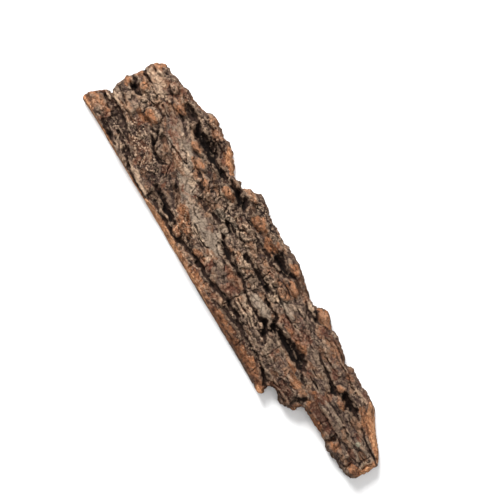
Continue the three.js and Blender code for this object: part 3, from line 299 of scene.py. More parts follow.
# Where each kind of skin shows: x, y, half length, half width and strength.
PATCHES = {
    Skin.FRESH: (
        # broad end
        (-115, -19.6, 4.6, 4.8, 0.8), (-107.6, -17, 4.6, 2.8, 0.7), (-99, -23.4, 5, 1.4, 0.9),
        (-113, 0.2, 2.8, 2.8, 0.9), (-113.4, 7.4, 2.2, 2.4, 0.8), (-106, 5.7, 2.6, 2.4, 1),
        (-112, 17.6, 3.4, 3, 0.7), (-91.6, -0.4, 4.6, 3.6, 1.2), (-87.6, 15, 5.4, 2.4, 0.9),
        (-74, 26.2, 4, 2.4, 0.7), (-66, 23.6, 5, 3, 0.6), (-67, 11.6, 4.2, 2.4, 1),
        (-58.6, 8, 5, 2.4, 0.75), (-54.4, 3.4, 2.6, 1.8, 0.7), (-96.6, -3, 3.4, 1.8, 0.8),
        (-50, 22.4, 6, 2.6, 1), (-47.8, 5.4, 3.4, 2, 0.9), (-93.6, -19.4, 3, 2, 0.45),
        (-100, -6.6, 5, 3, 0.3), (-74, -13.6, 7, 4, 0.35), (-60, -8.6, 3.4, 3.4, 0.3),
        (-84, 24, 8, 1.4, 0.4),
        # middle
        (-42.6, -11.2, 4.6, 2.8, 1), (-34.6, -14.4, 6.4, 3.4, 0.9), (-35.6, -19.8, 3.8, 2.8, 1),
        (-19.4, -16.6, 6, 1.9, 0.9), (-38.4, 12.8, 4.8, 2.2, 1), (-40, 18, 4, 2, 0.6),
        (-31, 22, 6, 2.6, 0.65), (-15.8, 18.4, 5.2, 3.6, 1), (-3.8, 17, 5, 3, 1.4), (-9, -0.4, 6, 1.8, 0.6),
        (-9.4, 2, 1.6, 1.4, 0.7), (12, 20.8, 3.8, 2.4, 0.9), (19.6, 15, 4.8, 2.6, 1),
        (18.6, 9.8, 5, 2.4, 0.75), (13.2, 10.8, 3, 2, 0.8), (2, 8.4, 9, 2.2, 0.5),
        (41.4, 20.8, 5, 2.8, 1.5), (45.4, 14.6, 5, 2.4, 0.55), (-2, -6.8, 5.6, 2, 0.4),
        (4.4, -8.4, 3, 4.4, 0.4), (-10, -24, 14, 2, 0.9), (-46, -24, 11, 2, 1), (-27, -24, 12, 2.4, 0.9),
        (18, -24, 14, 3, 0.8), (40, -24, 14, 3, 0.8), (-18, -25, 14, 2.4, 1), (53, -25.4, 4.4, 2.4, 1),
        (38.6, 2.6, 3.6, 1.8, 0.8), (48.6, 2.8, 6, 1.3, 0.95),
        # narrow end
        (53.6, -6, 3.2, 1.7, 0.9), (42.4, -7.8, 1.5, 1.2, 0.8), (63.4, -9, 6.6, 2.6, 0.8),
        (72, -4.4, 4, 1.4, 0.8), (73, -8, 2.2, 2.4, 0.7), (71.6, -15.4, 2.4, 3, 0.6),
        (62, 15.4, 10, 2.4, 0.55), (72.6, 15.6, 4, 1.8, 0.6), (76.4, 8.6, 2.4, 2.4, 1),
        (82.4, 4.8, 3.6, 1.7, 0.9), (84, 15.6, 4, 1.8, 0.4), (84, -11, 10, 1.5, 0.8),
        (98.6, -10, 3.8, 2.6, 0.8), (115, -7.8, 3.4, 2.2, 1), (118, -1.2, 2.4, 5.4, 1.2),
        (96.4, 7, 2, 1.6, 0.5), (104, 12, 15, 4, 0.9),
    ),
    Skin.CREAM: (
        (-106, 14.6, 5.4, 3, 0.8), (-99, 11.6, 6, 2.2, 0.8), (-109.4, -9.8, 5, 1.4, 1.2),
        (-111.6, -12, 2.8, 1.6, 0.9), (-91.6, 4.4, 4.6, 0.9, 0.5), (-91, -3.2, 5, 0.9, 0.5),
        (-68, 5, 7, 3.2, 0.45), (-58, 2.2, 7, 2.4, 0.4), (-72, -21.7, 5, 1.2, 0.9),
        (-64.6, -22.9, 4.4, 1, 0.9), (-114, -20.4, 4, 3, 0.5), (-87, -20, 2.2, 1.4, 0.9),
        (-46, -19.6, 7, 0.9, 0.8), (-47, -3.6, 5, 3, 0.3), (-89, 11, 6, 1.6, 0.35),
        (-28, -10.8, 7, 1.3, 0.7), (-30.5, -13, 3.4, 1.5, 0.8), (-38.5, 10, 3, 1.5, 0.7),
        (-6, 2.2, 6.4, 1.2, 0.8), (10, 7, 6, 1.6, 0.4), (12.6, 9.4, 3, 1.3, 0.7),
        (19.6, 5.5, 2.2, 1.3, 1.3), (18.8, -10.6, 9, 3.2, 0.5), (14, -8, 4, 1.4, 0.9),
        (34, 18.2, 5.4, 1.4, 1.1), (34, -12, 7, 2, 0.3), (-112, 13, 2, 2.4, 0.6),
        (-112.6, 1.6, 2, 1.4, 0.6), (-11.4, 6, 2.6, 1.4, 0.8), (105, 3, 4, 1, 0.5),
        (-15.8, -13.2, 3, 3.6, 0.8), (-101, -5.4, 5, 3, 0.3), (-53, 0.6, 4, 1.6, 0.9),
        (-54, 2.6, 3, 1.5, 0.8), (-64, 5.4, 3, 1.8, 0.8), (-95.4, 12, 3, 1.6, 0.8),
        (-47, -22.8, 3, 1.1, 1.2), (-72, 10, 6, 2.4, 0.5), (-98.5, -3.2, 3, 2, 0.45),
        (-100, 6, 4, 1.6, 0.5), (42.4, 20.6, 4, 2.2, 1.5), (116.6, -0.4, 3, 4, 0.9),
        (85, 15.6, 5, 1.8, 0.8),
    ),
    Skin.ASH: (
        (-78.4, 7, 7, 3.4, 0.62), (-86, 8, 6, 3, 0.4), (-66, 6.4, 8, 3.6, 0.88), (-53, -1.6, 7, 4, 1.1),
        (-45, -6.4, 7, 3, 0.7), (-41, 5.6, 3.8, 3.8, 0.4), (-35, -7, 11, 3.8, 0.85), (-22, -6.8, 9, 5, 0.9),
        (-22, 1.6, 4, 2.4, 0.7), (-22, 9.4, 10, 4.4, 0.3), (18.6, -3.6, 9, 2.6, 1),
        (27, 7.2, 6.4, 2.2, 0.9), (34, -13, 8, 2.6, 0.3), (48, 9.6, 6, 4, 0.35), (107, 1.6, 6, 2.2, 0.5),
        (104, -3, 8, 2, 0.4), (80, -1, 14, 2.6, 0.35), (-31, 4.6, 4.4, 2, 1.2), (-23.4, 7.2, 3.4, 2, 1.6),
        (12, 10, 6, 2, 0.3), (-60, 3, 6, 3.4, 0.7), (-73, 1.8, 5, 1.8, 0.7),
    ),
    Skin.RUSSET: (
        (-108, 10, 4, 0.8, 1), (-97.4, 17.6, 3.6, 2.8, 0.6), (-107, -12, 8, 1.4, 0.8),
        (-107, -17, 4, 2.6, 0.6), (-91, 0, 5, 3, 0.5), (-60, -2, 4, 1.6, 0.4), (-38, 12.6, 5, 2, 0.5),
        (-1, -7, 8, 2.6, 0.9), (4.4, -10, 3.4, 4.6, 0.9), (1, 0.4, 5, 2, 0.5), (37, 3.4, 5, 2, 0.8),
        (48, 2.6, 7, 1.6, 0.8), (60, 18.4, 12, 2.6, 0.5), (46, 18, 5, 2.6, 0.7), (84, -7.6, 11, 3, 0.9),
        (63, -16.4, 8, 4, 0.6), (88, 17, 4, 2.6, 0.7), (20, 11, 6, 2, 0.5), (74, 16, 6, 3, 0.5),
        (100, -9, 6, 3, 0.4), (24, -23.4, 19, 4, 1.6), (43, -23, 14, 3.8, 1.3), (-98, 16, 12, 3.4, 0.5),
        (-80, -14, 14, 5, 0.3),
    ),
    # dark bark, with painted shade laid in the hollows and beside the furrows
    Skin.DARK: (
        (-59.6, 20.4, 4.6, 4.2, 1.3), (-66, 19.6, 5, 2, 0.9), (-81.5, 18.2, 5.4, 2.6, 1.3),
        (-97, 19.6, 9, 2, 0.5), (-97.4, 17.4, 3, 2.6, 0.5), (-52.6, -10, 5, 3.4, 0.8),
        (-56.4, -20.6, 3.4, 2.4, 0.9), (-100, -17.6, 4, 5, 0.9), (-102.4, -12.6, 6.4, 1.6, 0.8),
        (-74.6, -4.4, 4, 2.4, 0.4), (-112, -4.6, 4, 2, 0.6), (-70, 21, 6, 3, 0.5), (-47, 12, 7, 3, 0.6),
        (-30, -18.6, 5, 3, 0.7), (-29.6, -14.4, 2, 3, 0.8), (5.4, 17.8, 5, 3.2, 1), (14, 16.8, 4, 1.6, 0.8),
        (15.6, -17.4, 9, 2.4, 1), (-15, -19, 12, 1.8, 0.8),
        (-15, 23.6, 10, 1.6, 0.5), (22, 20.4, 7, 2, 0.5), (49, 18, 4, 2.2, 0.6),
        (36.6, 17.2, 3.4, 1.6, 0.8), (46, -1.6, 9, 2.2, 1.3), (50.6, -19.6, 4.4, 2, 1),
        (84, -7.4, 11, 2.6, 0.8), (62, -16, 8, 4, 0.7), (70.8, -12.6, 3, 4.4, 0.8), (75, -8.8, 3, 2.4, 0.9),
        (86.6, 8.6, 8, 3, 0.8), (83, 12.6, 5, 2, 0.3), (106, -10, 5, 2.6, 0.4), (14.4, 2, 6, 1.6, 0.4),
        (31, -6.8, 5, 3, 0.5), (-86, -11, 11, 6, 0.45), (-71, -12, 9, 6, 0.45), (-76, -19, 11, 2, 0.45),
        (-62, -9, 5, 6, 0.5), (-48, 11, 8, 2.6, 0.5), (24, -22.6, 18, 4, 0.45), (40, -22.4, 12, 3, 0.4),
        (-58, 18, 9, 6, 0.8), (-96, 19, 12, 2.4, 0.5), (-40, -20.6, 14, 2, 0.5), (60, -2, 6, 3, 0.3),
        (-103, -13, 7, 2.6, 0.6), (88, 2, 32, 13, 0.45), (56, -1.4, 4, 2, 0.8),
        (96, 8.6, 4, 1.4, 0.7), (66, 18, 14, 2, 0.5), (64, -15, 9, 6, 0.3), (-54, 11, 9, 3, 0.5),
        (-59, -4.6, 4.6, 1.8, 0.9), (-54, -8.6, 4.6, 2.4, 0.9), (-49, -12.4, 4, 2, 0.8),
        (-84, -12, 10, 5, 0.3), (50, 10, 9, 5, 0.4), (25, -21.6, 23, 4, 1.4), (84, -8.4, 12, 3, 0.4),
        (-2, 21, 26, 3, 0.3), (-110, -4, 4, 3, 0.7), (-89, 9, 5, 1.8, 0.6), (-84, -5, 7, 2.6, 0.6),
        (-79, 19.6, 4, 5, 0.8), (-68, -3, 4, 2.4, 0.6), (-54, -18.6, 8, 3, 1.3), (-55, -14, 4, 2, 0.7),
        (-48, 14.6, 9, 2, 1.2), (-32, 14, 5, 2.2, 1.1), (-22.8, 19.8, 4.4, 4, 1.7), (-15, 11, 5, 2, 0.6),
        (-26, -17, 4, 1.8, 0.9), (-41, -18.6, 4, 1.6, 0.9), (12, -13.8, 3.4, 2, 1.2),
        (-83, -13.4, 5, 2.6, 0.8), (-79.5, 17.4, 3.6, 2.4, 1.3), (-77.5, -3.5, 3, 2, 0.8),
        (-5.5, 9.4, 3, 2, 0.6), (-6, 13, 5, 3, 0.7), (-8, 21, 3, 3, 1), (-8, -2.6, 11, 1.8, 1.5),
        (2, -7.5, 5, 2.4, 0.8), (3, 13, 5, 2, 0.8), (7, 22.4, 4, 2, 0.6), (19, 18.6, 5, 2, 1),
        (37, -5.5, 4, 2.4, 1), (38, -10, 4, 3, 0.6), (60.4, -6.4, 6, 2.4, 1), (92, 6.4, 6, 2, 0.9),
        (97, 9.8, 3, 1.4, 0.5), (50, -16.6, 7, 2, 0.5),
    ),
    Skin.GRAINY: (
        (-87, -10.6, 9, 6.4, 1.1), (-73, -13.6, 8, 5, 1), (-101, 4, 6, 6, 0.8), (-66, 4, 7, 4, 0.3),
        (-23, 9.4, 11, 5, 1.1), (-70, 22, 8, 4, 0.9), (-18, 23, 22, 2.6, 0.9), (-36, -14, 9, 6, 0.9),
        (14, -17, 8, 3, 0.7), (-12, -23, 20, 3, 0.5), (82, 13, 7, 3, 0.7), (-2, 0, 10, 2, 0.6),
        (-102, -17, 9, 4.6, 0.8), (46, 12, 8, 3, 0.5), (28, -20, 14, 3, 0.6), (-95, 20, 14, 2.6, 0.8),
        (-48, 12, 8, 3, 0.5), (-46, -2, 5, 2, 0.6), (-35.6, -19.8, 4, 3, 0.8),
    ),
    Skin.CALM: (
        (-30, -6.4, 13, 4.4, 1), (-17, -8, 6, 5, 0.8), (18.6, -3.6, 9, 2.6, 0.9), (-78.4, 7, 6.4, 2.8, 1),
        (-68, 7, 10, 4, 0.75), (-56, 0, 8, 4, 0.8), (48, 10, 8, 5, 0.7), (28.4, 7.4, 6, 2.6, 0.8),
        (-46, -5, 7, 3, 0.8), (-101, -5.6, 5, 3, 0.8), (-109, -9, 5, 1.4, 1),
        (-105.4, 14.2, 7.4, 3.8, 1.2), (-58, 1, 10, 5, 0.4), (-16.4, 18.6, 5, 3, 0.5),
        (19.6, 15, 4.6, 2.4, 0.7), (-67, 11.6, 4, 2.4, 0.6), (108, -1, 8, 5, 0.5),
        (63.4, -9.4, 6.4, 2.4, 0.7), (-68.4, -22.2, 8, 1.4, 1), (34, 18.2, 5, 1.4, 1),
        (-58.6, 8.4, 5, 2.4, 0.6), (-91.6, 1, 4, 2.8, 0.5), (-48, 12, 7, 2.6, 0.6), (88, 2, 30, 12, 0.75),
        (56, 12, 22, 8, 0.65), (44, -12, 14, 6, 0.4), (32, -23, 26, 4, 0.7),
    ),
    Skin.STREAKED: (
        (18.8, -11, 9, 4, 1), (62, 15, 13, 5, 0.9), (-48, 12, 9, 3, 0.9), (-107, 14.6, 6, 3, 0.4),
        (-27, -11, 8, 2, 0.8), (62, -16.4, 8, 4, 0.9), (-15, 18, 7, 4, 0.5),
        (36, -14, 10, 3.4, 0.7), (44, -24, 12, 3, 0.5), (-109, -9, 6, 1.6, 0.5), (-60, 21, 6, 4, 0.5),
        (104, 12, 15, 4, 0.4), (0, -8, 8, 3, 0.5), (-46, -19.4, 8, 1.4, 0.9), (84, 0, 34, 12, 0.9),
        (48, 10, 12, 7, 0.6), (50, -10, 14, 7, 0.6),
    ),
    Skin.CRACKED: (
        (-26, 5, 18, 9, 1), (0, 4, 26, 9, 1), (22, -3, 14, 7, 0.9), (34, -12, 14, 7, 0.8),
        (-50, 1, 12, 6, 0.5), (-66, 3, 10, 6, 0.3), (-18, -14, 10, 4, 0.6), (36, 10, 12, 7, 0.7),
        (-97, 6, 13, 8, 0.5), (104, -4, 10, 8, 0.4),
    ),
}

# A round spot of grey-green lichen on the narrow end: x, y and radius.
LICHEN = (104.6, 1.3, 1.7)


def ramp(low: float, high: float, value: Array) -> Array:
    """Smooth step from 0 at low to 1 at high."""
    t = np.clip((value - low) / (high - low), 0.0, 1.0)
    return t * t * (3.0 - 2.0 * t)


def blurred(values: Array, radius: int) -> Array:
    """Soft local mean of a plan grid.

    Args:
        values: The grid, over x and y.
        radius: Half width of the blur, in grid steps.

    Returns:
        A grid of the same shape.
    """
    width = 2 * radius + 1
    for axis in (0, 0, 1, 1):
        pad = [(0, 0), (0, 0)]
        pad[axis] = (radius + 1, radius)
        total = np.cumsum(np.pad(values, pad, mode="edge"), axis=axis)
        upper = np.take(total, np.arange(width, total.shape[axis]), axis=axis)
        lower = np.take(total, np.arange(0, total.shape[axis] - width), axis=axis)
        values = (upper - lower) / width
    return values


def windowed(values: Array, radius: int, choose: np.ufunc) -> Array:
    """Lowest or highest value of a grid within a square round each point.

    Args:
        values: The grid.
        radius: Half width of the square, in grid steps.
        choose: np.minimum or np.maximum.

    Returns:
        A grid of the same shape.
    """
    for axis in (0, 1):
        pad = [(0, 0), (0, 0)]
        pad[axis] = (radius, radius)
        padded = np.pad(values, pad, mode="edge")
        size = values.shape[axis]
        for shift in range(2 * radius + 1):
            part = np.take(padded, np.arange(shift, shift + size), axis=axis)
            values = part if shift == 0 else choose(values, part)
    return values


def line_field(x: Array, y: Array, line: tuple[tuple[float, ...], ...]) -> tuple[Array, Array]:
    """Distance to a line, and the line's half width at the nearest point.

    Args:
        x, y: Where to measure.
        line: Points as x, y and, where the line has one, half width.

    Returns:
        The two grids.
    """
    nearest = np.full(x.shape, np.inf)
    width = np.zeros(x.shape)
    for start, end in zip(line, line[1:]):
        ax, ay, aw = (*start, 0.0)[:3]
        bx, by, bw = (*end, 0.0)[:3]
        t = ((x - ax) * (bx - ax) + (y - ay) * (by - ay)) / ((bx - ax) ** 2 + (by - ay) ** 2)
        t = np.clip(t, 0.0, 1.0)
        away = np.hypot(x - ax - (bx - ax) * t, y - ay - (by - ay) * t)
        closer = away < nearest
        width = np.where(closer, aw + (bw - aw) * t, width)
        nearest = np.where(closer, away, nearest)
    return nearest, width


@dataclass(frozen=True)
class Cells:
    """What scattered cells are like at each point, in cell units."""

    near: Array  # distance to the cell's own point
    gap: Array  # how much farther the next cell's point is
    draw: Array  # a draw between 0 and 1 for the cell
    lean: Array  # a random direction for the cell
    off_x: Array  # where the point lies from the cell's own point
    off_y: Array


class Noise:
    """Repeatable gradient noise and scattered cells."""

    TABLE = 256  # draws in each table
    SPREAD = 1.6  # brings the gradient noise to about -1 to 1
    OCTAVE_SHIFT = (17, 31)  # keeps the octaves' patterns apart

    def __init__(self, seed: int) -> None:
        """Draws the tables that one seed gives.

        Args:
            seed: Any whole number.
        """
        rng = np.random.default_rng(seed)
        self.order = np.tile(rng.permutation(self.TABLE), 3)
        slopes = rng.normal(size=(self.TABLE, 3))
        self.slopes = (slopes / np.linalg.norm(slopes, axis=1, keepdims=True)).astype(np.float32)
        self.draws = rng.random((self.TABLE, 3)).astype(np.float32)

    def _pick(self, i: Array, j: Array, k: Array | int = 0) -> Array:
        """Table row of a whole-numbered cell."""
        last = self.TABLE - 1
        return self.order[self.order[self.order[i & last] + (j & last)] + (k & last)]

    def smooth(self, x: Array, y: Array, z: Array | float = 0.0) -> Array:
        """Gradient noise.

        Args:
            x, y, z: Where to read it, in cell units.

        Returns:
            Values from about -1 to 1.
        """
        x, y, z = np.broadcast_arrays(np.float32(x), np.float32(y), np.float32(z))
        floors = [np.floor(v) for v in (x, y, z)]
        i, j, k = (f.astype(np.int32) for f in floors)
        u, v, w = (p - f for p, f in zip((x, y, z), floors))
        fade = [t * t * t * (t * (t * 6 - 15) + 10) for t in (u, v, w)]
        total = np.zeros(x.shape, np.float32)
        for a, b, c in CORNERS:
            slope = self.slopes[self._pick(i + a, j + b, k + c)]
            dot = slope[..., 0] * (u - a) + slope[..., 1] * (v - b) + slope[..., 2] * (w - c)
            weight = 1.0
            for corner, share in zip((a, b, c), fade):
                weight = weight * (share if corner else 1 - share)
            total += weight * dot
        return total * self.SPREAD

    def rough(self, x: Array, y: Array, z: Array | float = 0.0, octaves: int = 3) -> Array:
        """Several octaves of gradient noise, each half as strong as the last.

        Args:
            x, y, z: Where to read it, in cells of the first octave.
            octaves: How many there are.

        Returns:
            Their sum.
        """
        total = 0.0
        for octave in range(octaves):
            scale = 2.0**octave
            shift_x, shift_y = (octave * shift for shift in self.OCTAVE_SHIFT)
            total = total + self.smooth(x * scale + shift_x, y * scale + shift_y, z * scale) / scale
        return total

    def cells(self, x: Array, y: Array) -> Cells:
        """Scattered cells around jittered points.

        Args:
            x, y: Where to read them, in cell units.

        Returns:
            What each place's cell is like.
        """
        i, j = np.floor(x).astype(np.int32), np.floor(y).astype(np.int32)
        nearest = np.full(x.shape, 9.0, np.float32)
        second = nearest.copy()
        off_x, off_y = np.zeros(x.shape, np.float32), np.zeros(x.shape, np.float32)
        row = np.zeros(x.shape, np.int32)
        for a, b in product((-1, 0, 1), repeat=2):
            found = self._pick(i + a, j + b)
            point = self.draws[found]
            dx = (x - (i + a + point[..., 0])).astype(np.float32)
            dy = (y - (j + b + point[..., 1])).astype(np.float32)
            away = np.cbrt(np.abs(dx) ** 3 + np.abs(dy) ** 3)
            closer = away < nearest
            second = np.where(closer, nearest, np.minimum(second, away))
            row = np.where(closer, found, row)
            off_x, off_y = np.where(closer, dx, off_x), np.where(closer, dy, off_y)
            nearest = np.where(closer, away, nearest)
        return Cells(nearest, second - nearest, self.draws[row, 2], self.slopes[row], off_x, off_y)


@dataclass(frozen=True)
class Swell:
    """One layer of gradient noise, with its sizes in millimetres."""

    along: float  # length of its features along the grain
    across: float  # and across it
    level: float  # keeps the layers' patterns apart
    strength: float = 1.0
    octaves: int = 1
    upward: float = 1.0  # height of its features

    def over(self, noise: Noise, x: Array, y: Array) -> Array:
        """The layer at places on the plan."""
        return self.strength * noise.rough(x / self.along, y / self.across, self.level, self.octaves)

    def through(self, noise: Noise, x: Array, y: Array, z: Array) -> Array:
        """The layer at points in space."""
        return self.strength * noise.smooth(x / self.along, y / self.across, z / self.upward + self.level)


@dataclass(frozen=True)
class Slab:
    """Driving sizes of the slab, in millimetres."""

    crown_height: float = 14.0
    crown_radius: float = 115.0
    crown_middle_y: float = 2.0
    arch_height: float = 2.0  # the inner face is hollow between two worn flat margins
    arch_half_width: float = 18.0
    arch_middle_y: float = 1.0
    thinnest: float = 3.6
    edge_lip: float = 2.2  # height of the upright foot of the edge
    foot_inset: float = 0.9
    lump_flank: float = 0.7  # how gently lumps rise
    furrow_bank: float = 1.5  # how far a furrow's wall reaches, in half widths
    slant: float = 0.24  # slope of the grain on the broad half
    slanted: Span = (-95, -20)  # and where along X it runs so

    def inner_height(self, y: Array) -> Array:
        """Height of the inner face, which is an arch across the grain."""
        out = (y - self.arch_middle_y) / self.arch_half_width
        return self.arch_height * np.maximum(0.0, 1.0 - out * out)

    def crown(self, x: Array, y: Array) -> Array:
        """Height of the smooth outer face, before lumps and furrows.

        Args:
            x, y: Where to read it.

        Returns:
            Heights.
        """
        stations = np.array(THICKNESS, float)
        segment = np.clip(np.searchsorted(stations[:, 0], x) - 1, 0, len(stations) - 2)
        start, end = stations[segment], stations[segment + 1]
        run, rise = (end - start)[..., 0], (end - start)[..., 1]
        share = start[..., 1] + rise * ramp(0, 1, (x - start[..., 0]) / run)
        return self.crown_height * share - (y - self.crown_middle_y) ** 2 / (2 * self.crown_radius)


SLAB = Slab()


@dataclass
class Plan:
    """An even grid over the slab's plan, in millimetres."""

    step: float = 0.25
    half_length: float = 122.0
    half_width: float = 30.0
    last: float = 1.001  # a place is read at least this many steps before the grid's end

    def __post_init__(self) -> None:
        """Lays out the grid's coordinates."""
        xs = np.arange(-self.half_length, self.half_length + self.step / 2, self.step)
        ys = np.arange(-self.half_width, self.half_width + self.step / 2, self.step)
        self.x, self.y = np.meshgrid(xs, ys, indexing="ij")

    def read(self, values: Array, x: Array, y: Array) -> Array:
        """Reads a grid of values between its points.

        Args:
            values: The grid.
            x, y: Where to read it.

        Returns:
            The values there.
        """
        u = np.clip((x + self.half_length) / self.step, 0, values.shape[0] - self.last)
        v = np.clip((y + self.half_width) / self.step, 0, values.shape[1] - self.last)
        i, j = u.astype(np.int32), v.astype(np.int32)
        a, b = u - i, v - j
        low = values[i, j] * (1 - a) + values[i + 1, j] * a
        high = values[i, j + 1] * (1 - a) + values[i + 1, j + 1] * a
        return low * (1 - b) + high * b

    def window(self, xs: tuple[float, ...], ys: tuple[float, ...], margin: float) -> tuple[slice, slice]:
        """The part of the grid round some points.

        Args:
            xs: The points' places along the grain.
            ys: And across it.
            margin: How far the part reaches beyond them.

        Returns:
            Slices of the grid's rows and columns.
        """
        i = (np.array([min(xs) - margin, max(xs) + margin]) + self.half_length) / self.step
        j = (np.array([min(ys) - margin, max(ys) + margin]) + self.half_width) / self.step
        rows, columns = self.x.shape
        i0, i1 = np.clip(i, 0, rows).astype(int)
        j0, j1 = np.clip(j, 0, columns).astype(int)
        return slice(i0, i1 + 1), slice(j0, j1 + 1)

    def steps(self, size: float) -> int:
        """How many of the grid's steps a size takes."""
        return round(size / self.step)


@dataclass
class Rim:
    """The slab's outline seen from above, as a signed distance and the width of the bevel beside it."""

    plan: Plan
    samples: int = 10  # points of the curve from one corner of the outline to the next
    coarse: float = 0.5  # step of the grid that it is measured on, in millimetres

    def __post_init__(self) -> None:
        """Measures the outline over the plan."""
        self.curve = self._curve()
        coarse = Plan(step=self.coarse)
        measured = self._measure(coarse.x.ravel(), coarse.y.ravel())
        self.distance, self.bevel = (
            coarse.read(values.reshape(coarse.x.shape), self.plan.x, self.plan.y) for values in measured
        )

    def _curve(self) -> Array:
        """Runs a centripetal curve through the outline's corners.

        Returns:
            Points along it, as x, y and bevel.
        """
        corners = np.array(OUTLINE, float)
        previous, following = np.roll(corners, 1, axis=0), np.roll(corners, -1, axis=0)
        beyond = np.roll(corners, -2, axis=0)

        def spacing(a: Array, b: Array) -> Array:
            """Centripetal spacing of two rows of points."""
            return np.sqrt(np.linalg.norm(b - a, axis=1, keepdims=True))

        before, here = spacing(previous, corners), spacing(corners, following)
        after = spacing(following, beyond)
        leave = (corners - previous) / before - (following - previous) / (before + here)
        leave = (leave + (following - corners) / here) * here
        arrive = (following - corners) / here - (beyond - corners) / (here + after)
        arrive = (arrive + (beyond - following) / after) * here
        points = []
        for t in np.arange(self.samples) / self.samples:
            hermite = (2 * t**3 - 3 * t**2 + 1) * corners + (t**3 - 2 * t**2 + t) * leave
            points.append(hermite + (3 * t**2 - 2 * t**3) * following + (t**3 - t**2) * arrive)
        return np.stack(points, axis=1).reshape(-1, 3)

    def _measure(self, x: Array, y: Array) -> tuple[Array, Array]:
        """Measures places against the curve.

        Args:
            x, y: Places on the plan.

        Returns:
            Signed distance to the outline, negative inside, and the bevel at its nearest point.
        """
        nearest = np.full(x.shape, np.inf)
        bevel = np.zeros(x.shape)
        crossings = np.zeros(x.shape, int)
        for (ax, ay, ab), (bx, by, bb) in zip(self.curve, np.roll(self.curve, -1, axis=0)):
            dx, dy = bx - ax, by - ay
            t = np.clip(((x - ax) * dx + (y - ay) * dy) / (dx * dx + dy * dy), 0.0, 1.0)
            away = (x - ax - dx * t) ** 2 + (y - ay - dy * t) ** 2
            closer = away < nearest
            nearest[closer] = away[closer]
            bevel[closer] = (ab + (bb - ab) * t)[closer]
            if ay != by:
                spans = (ay > y) != (by > y)
                crossings += spans & (x < ax + (y - ay) * dx / dy)
        return np.where(crossings % 2 == 1, -1.0, 1.0) * np.sqrt(nearest), bevel


@dataclass(frozen=True)
class Grade:
    """One size of the pieces that the bark breaks into, in millimetres."""

    length: float  # usual size along the grain
    width: float  # and across it
    step: float  # how much higher or lower a piece lies than its neighbours
    tilt: float  # slope of its top
    dome: float  # how far its middle stands above its edge
    shift: float  # keeps the grades' patterns apart
    dome_reach: float = 0.42  # where the dome crosses the mean height, in cell units


PLATES = Grade(length=9.0, width=3.7, step=1.2, tilt=0.12, dome=0.3, shift=0)
BLOCKS = Grade(length=4.2, width=2.3, step=0.9, tilt=0.3, dome=0.35, shift=40)
GRAINS = Grade(length=1.6, width=1.15, step=0.45, tilt=0.3, dome=0.55, shift=80)


@dataclass(frozen=True)
class Pieces:
    """How the pieces of one grade lie over the plan."""

    relief: Array
    gap: Array  # distance from the gap beside a piece, in cell units
    draw: Array  # a draw between 0 and 1 for each piece
    lean: Array  # another, between -1 and 1


@dataclass(frozen=True)
class Calming:
    """What share of each kind of relief a smooth place loses."""

    splits: float = 0.75
    chinks: float = 0.85
    plates: float = 0.6
    blocks: float = 0.7
    folds: float = 0.5
    creases: float = 0.7
    ledges: float = 0.5
    grains: float = 0.75


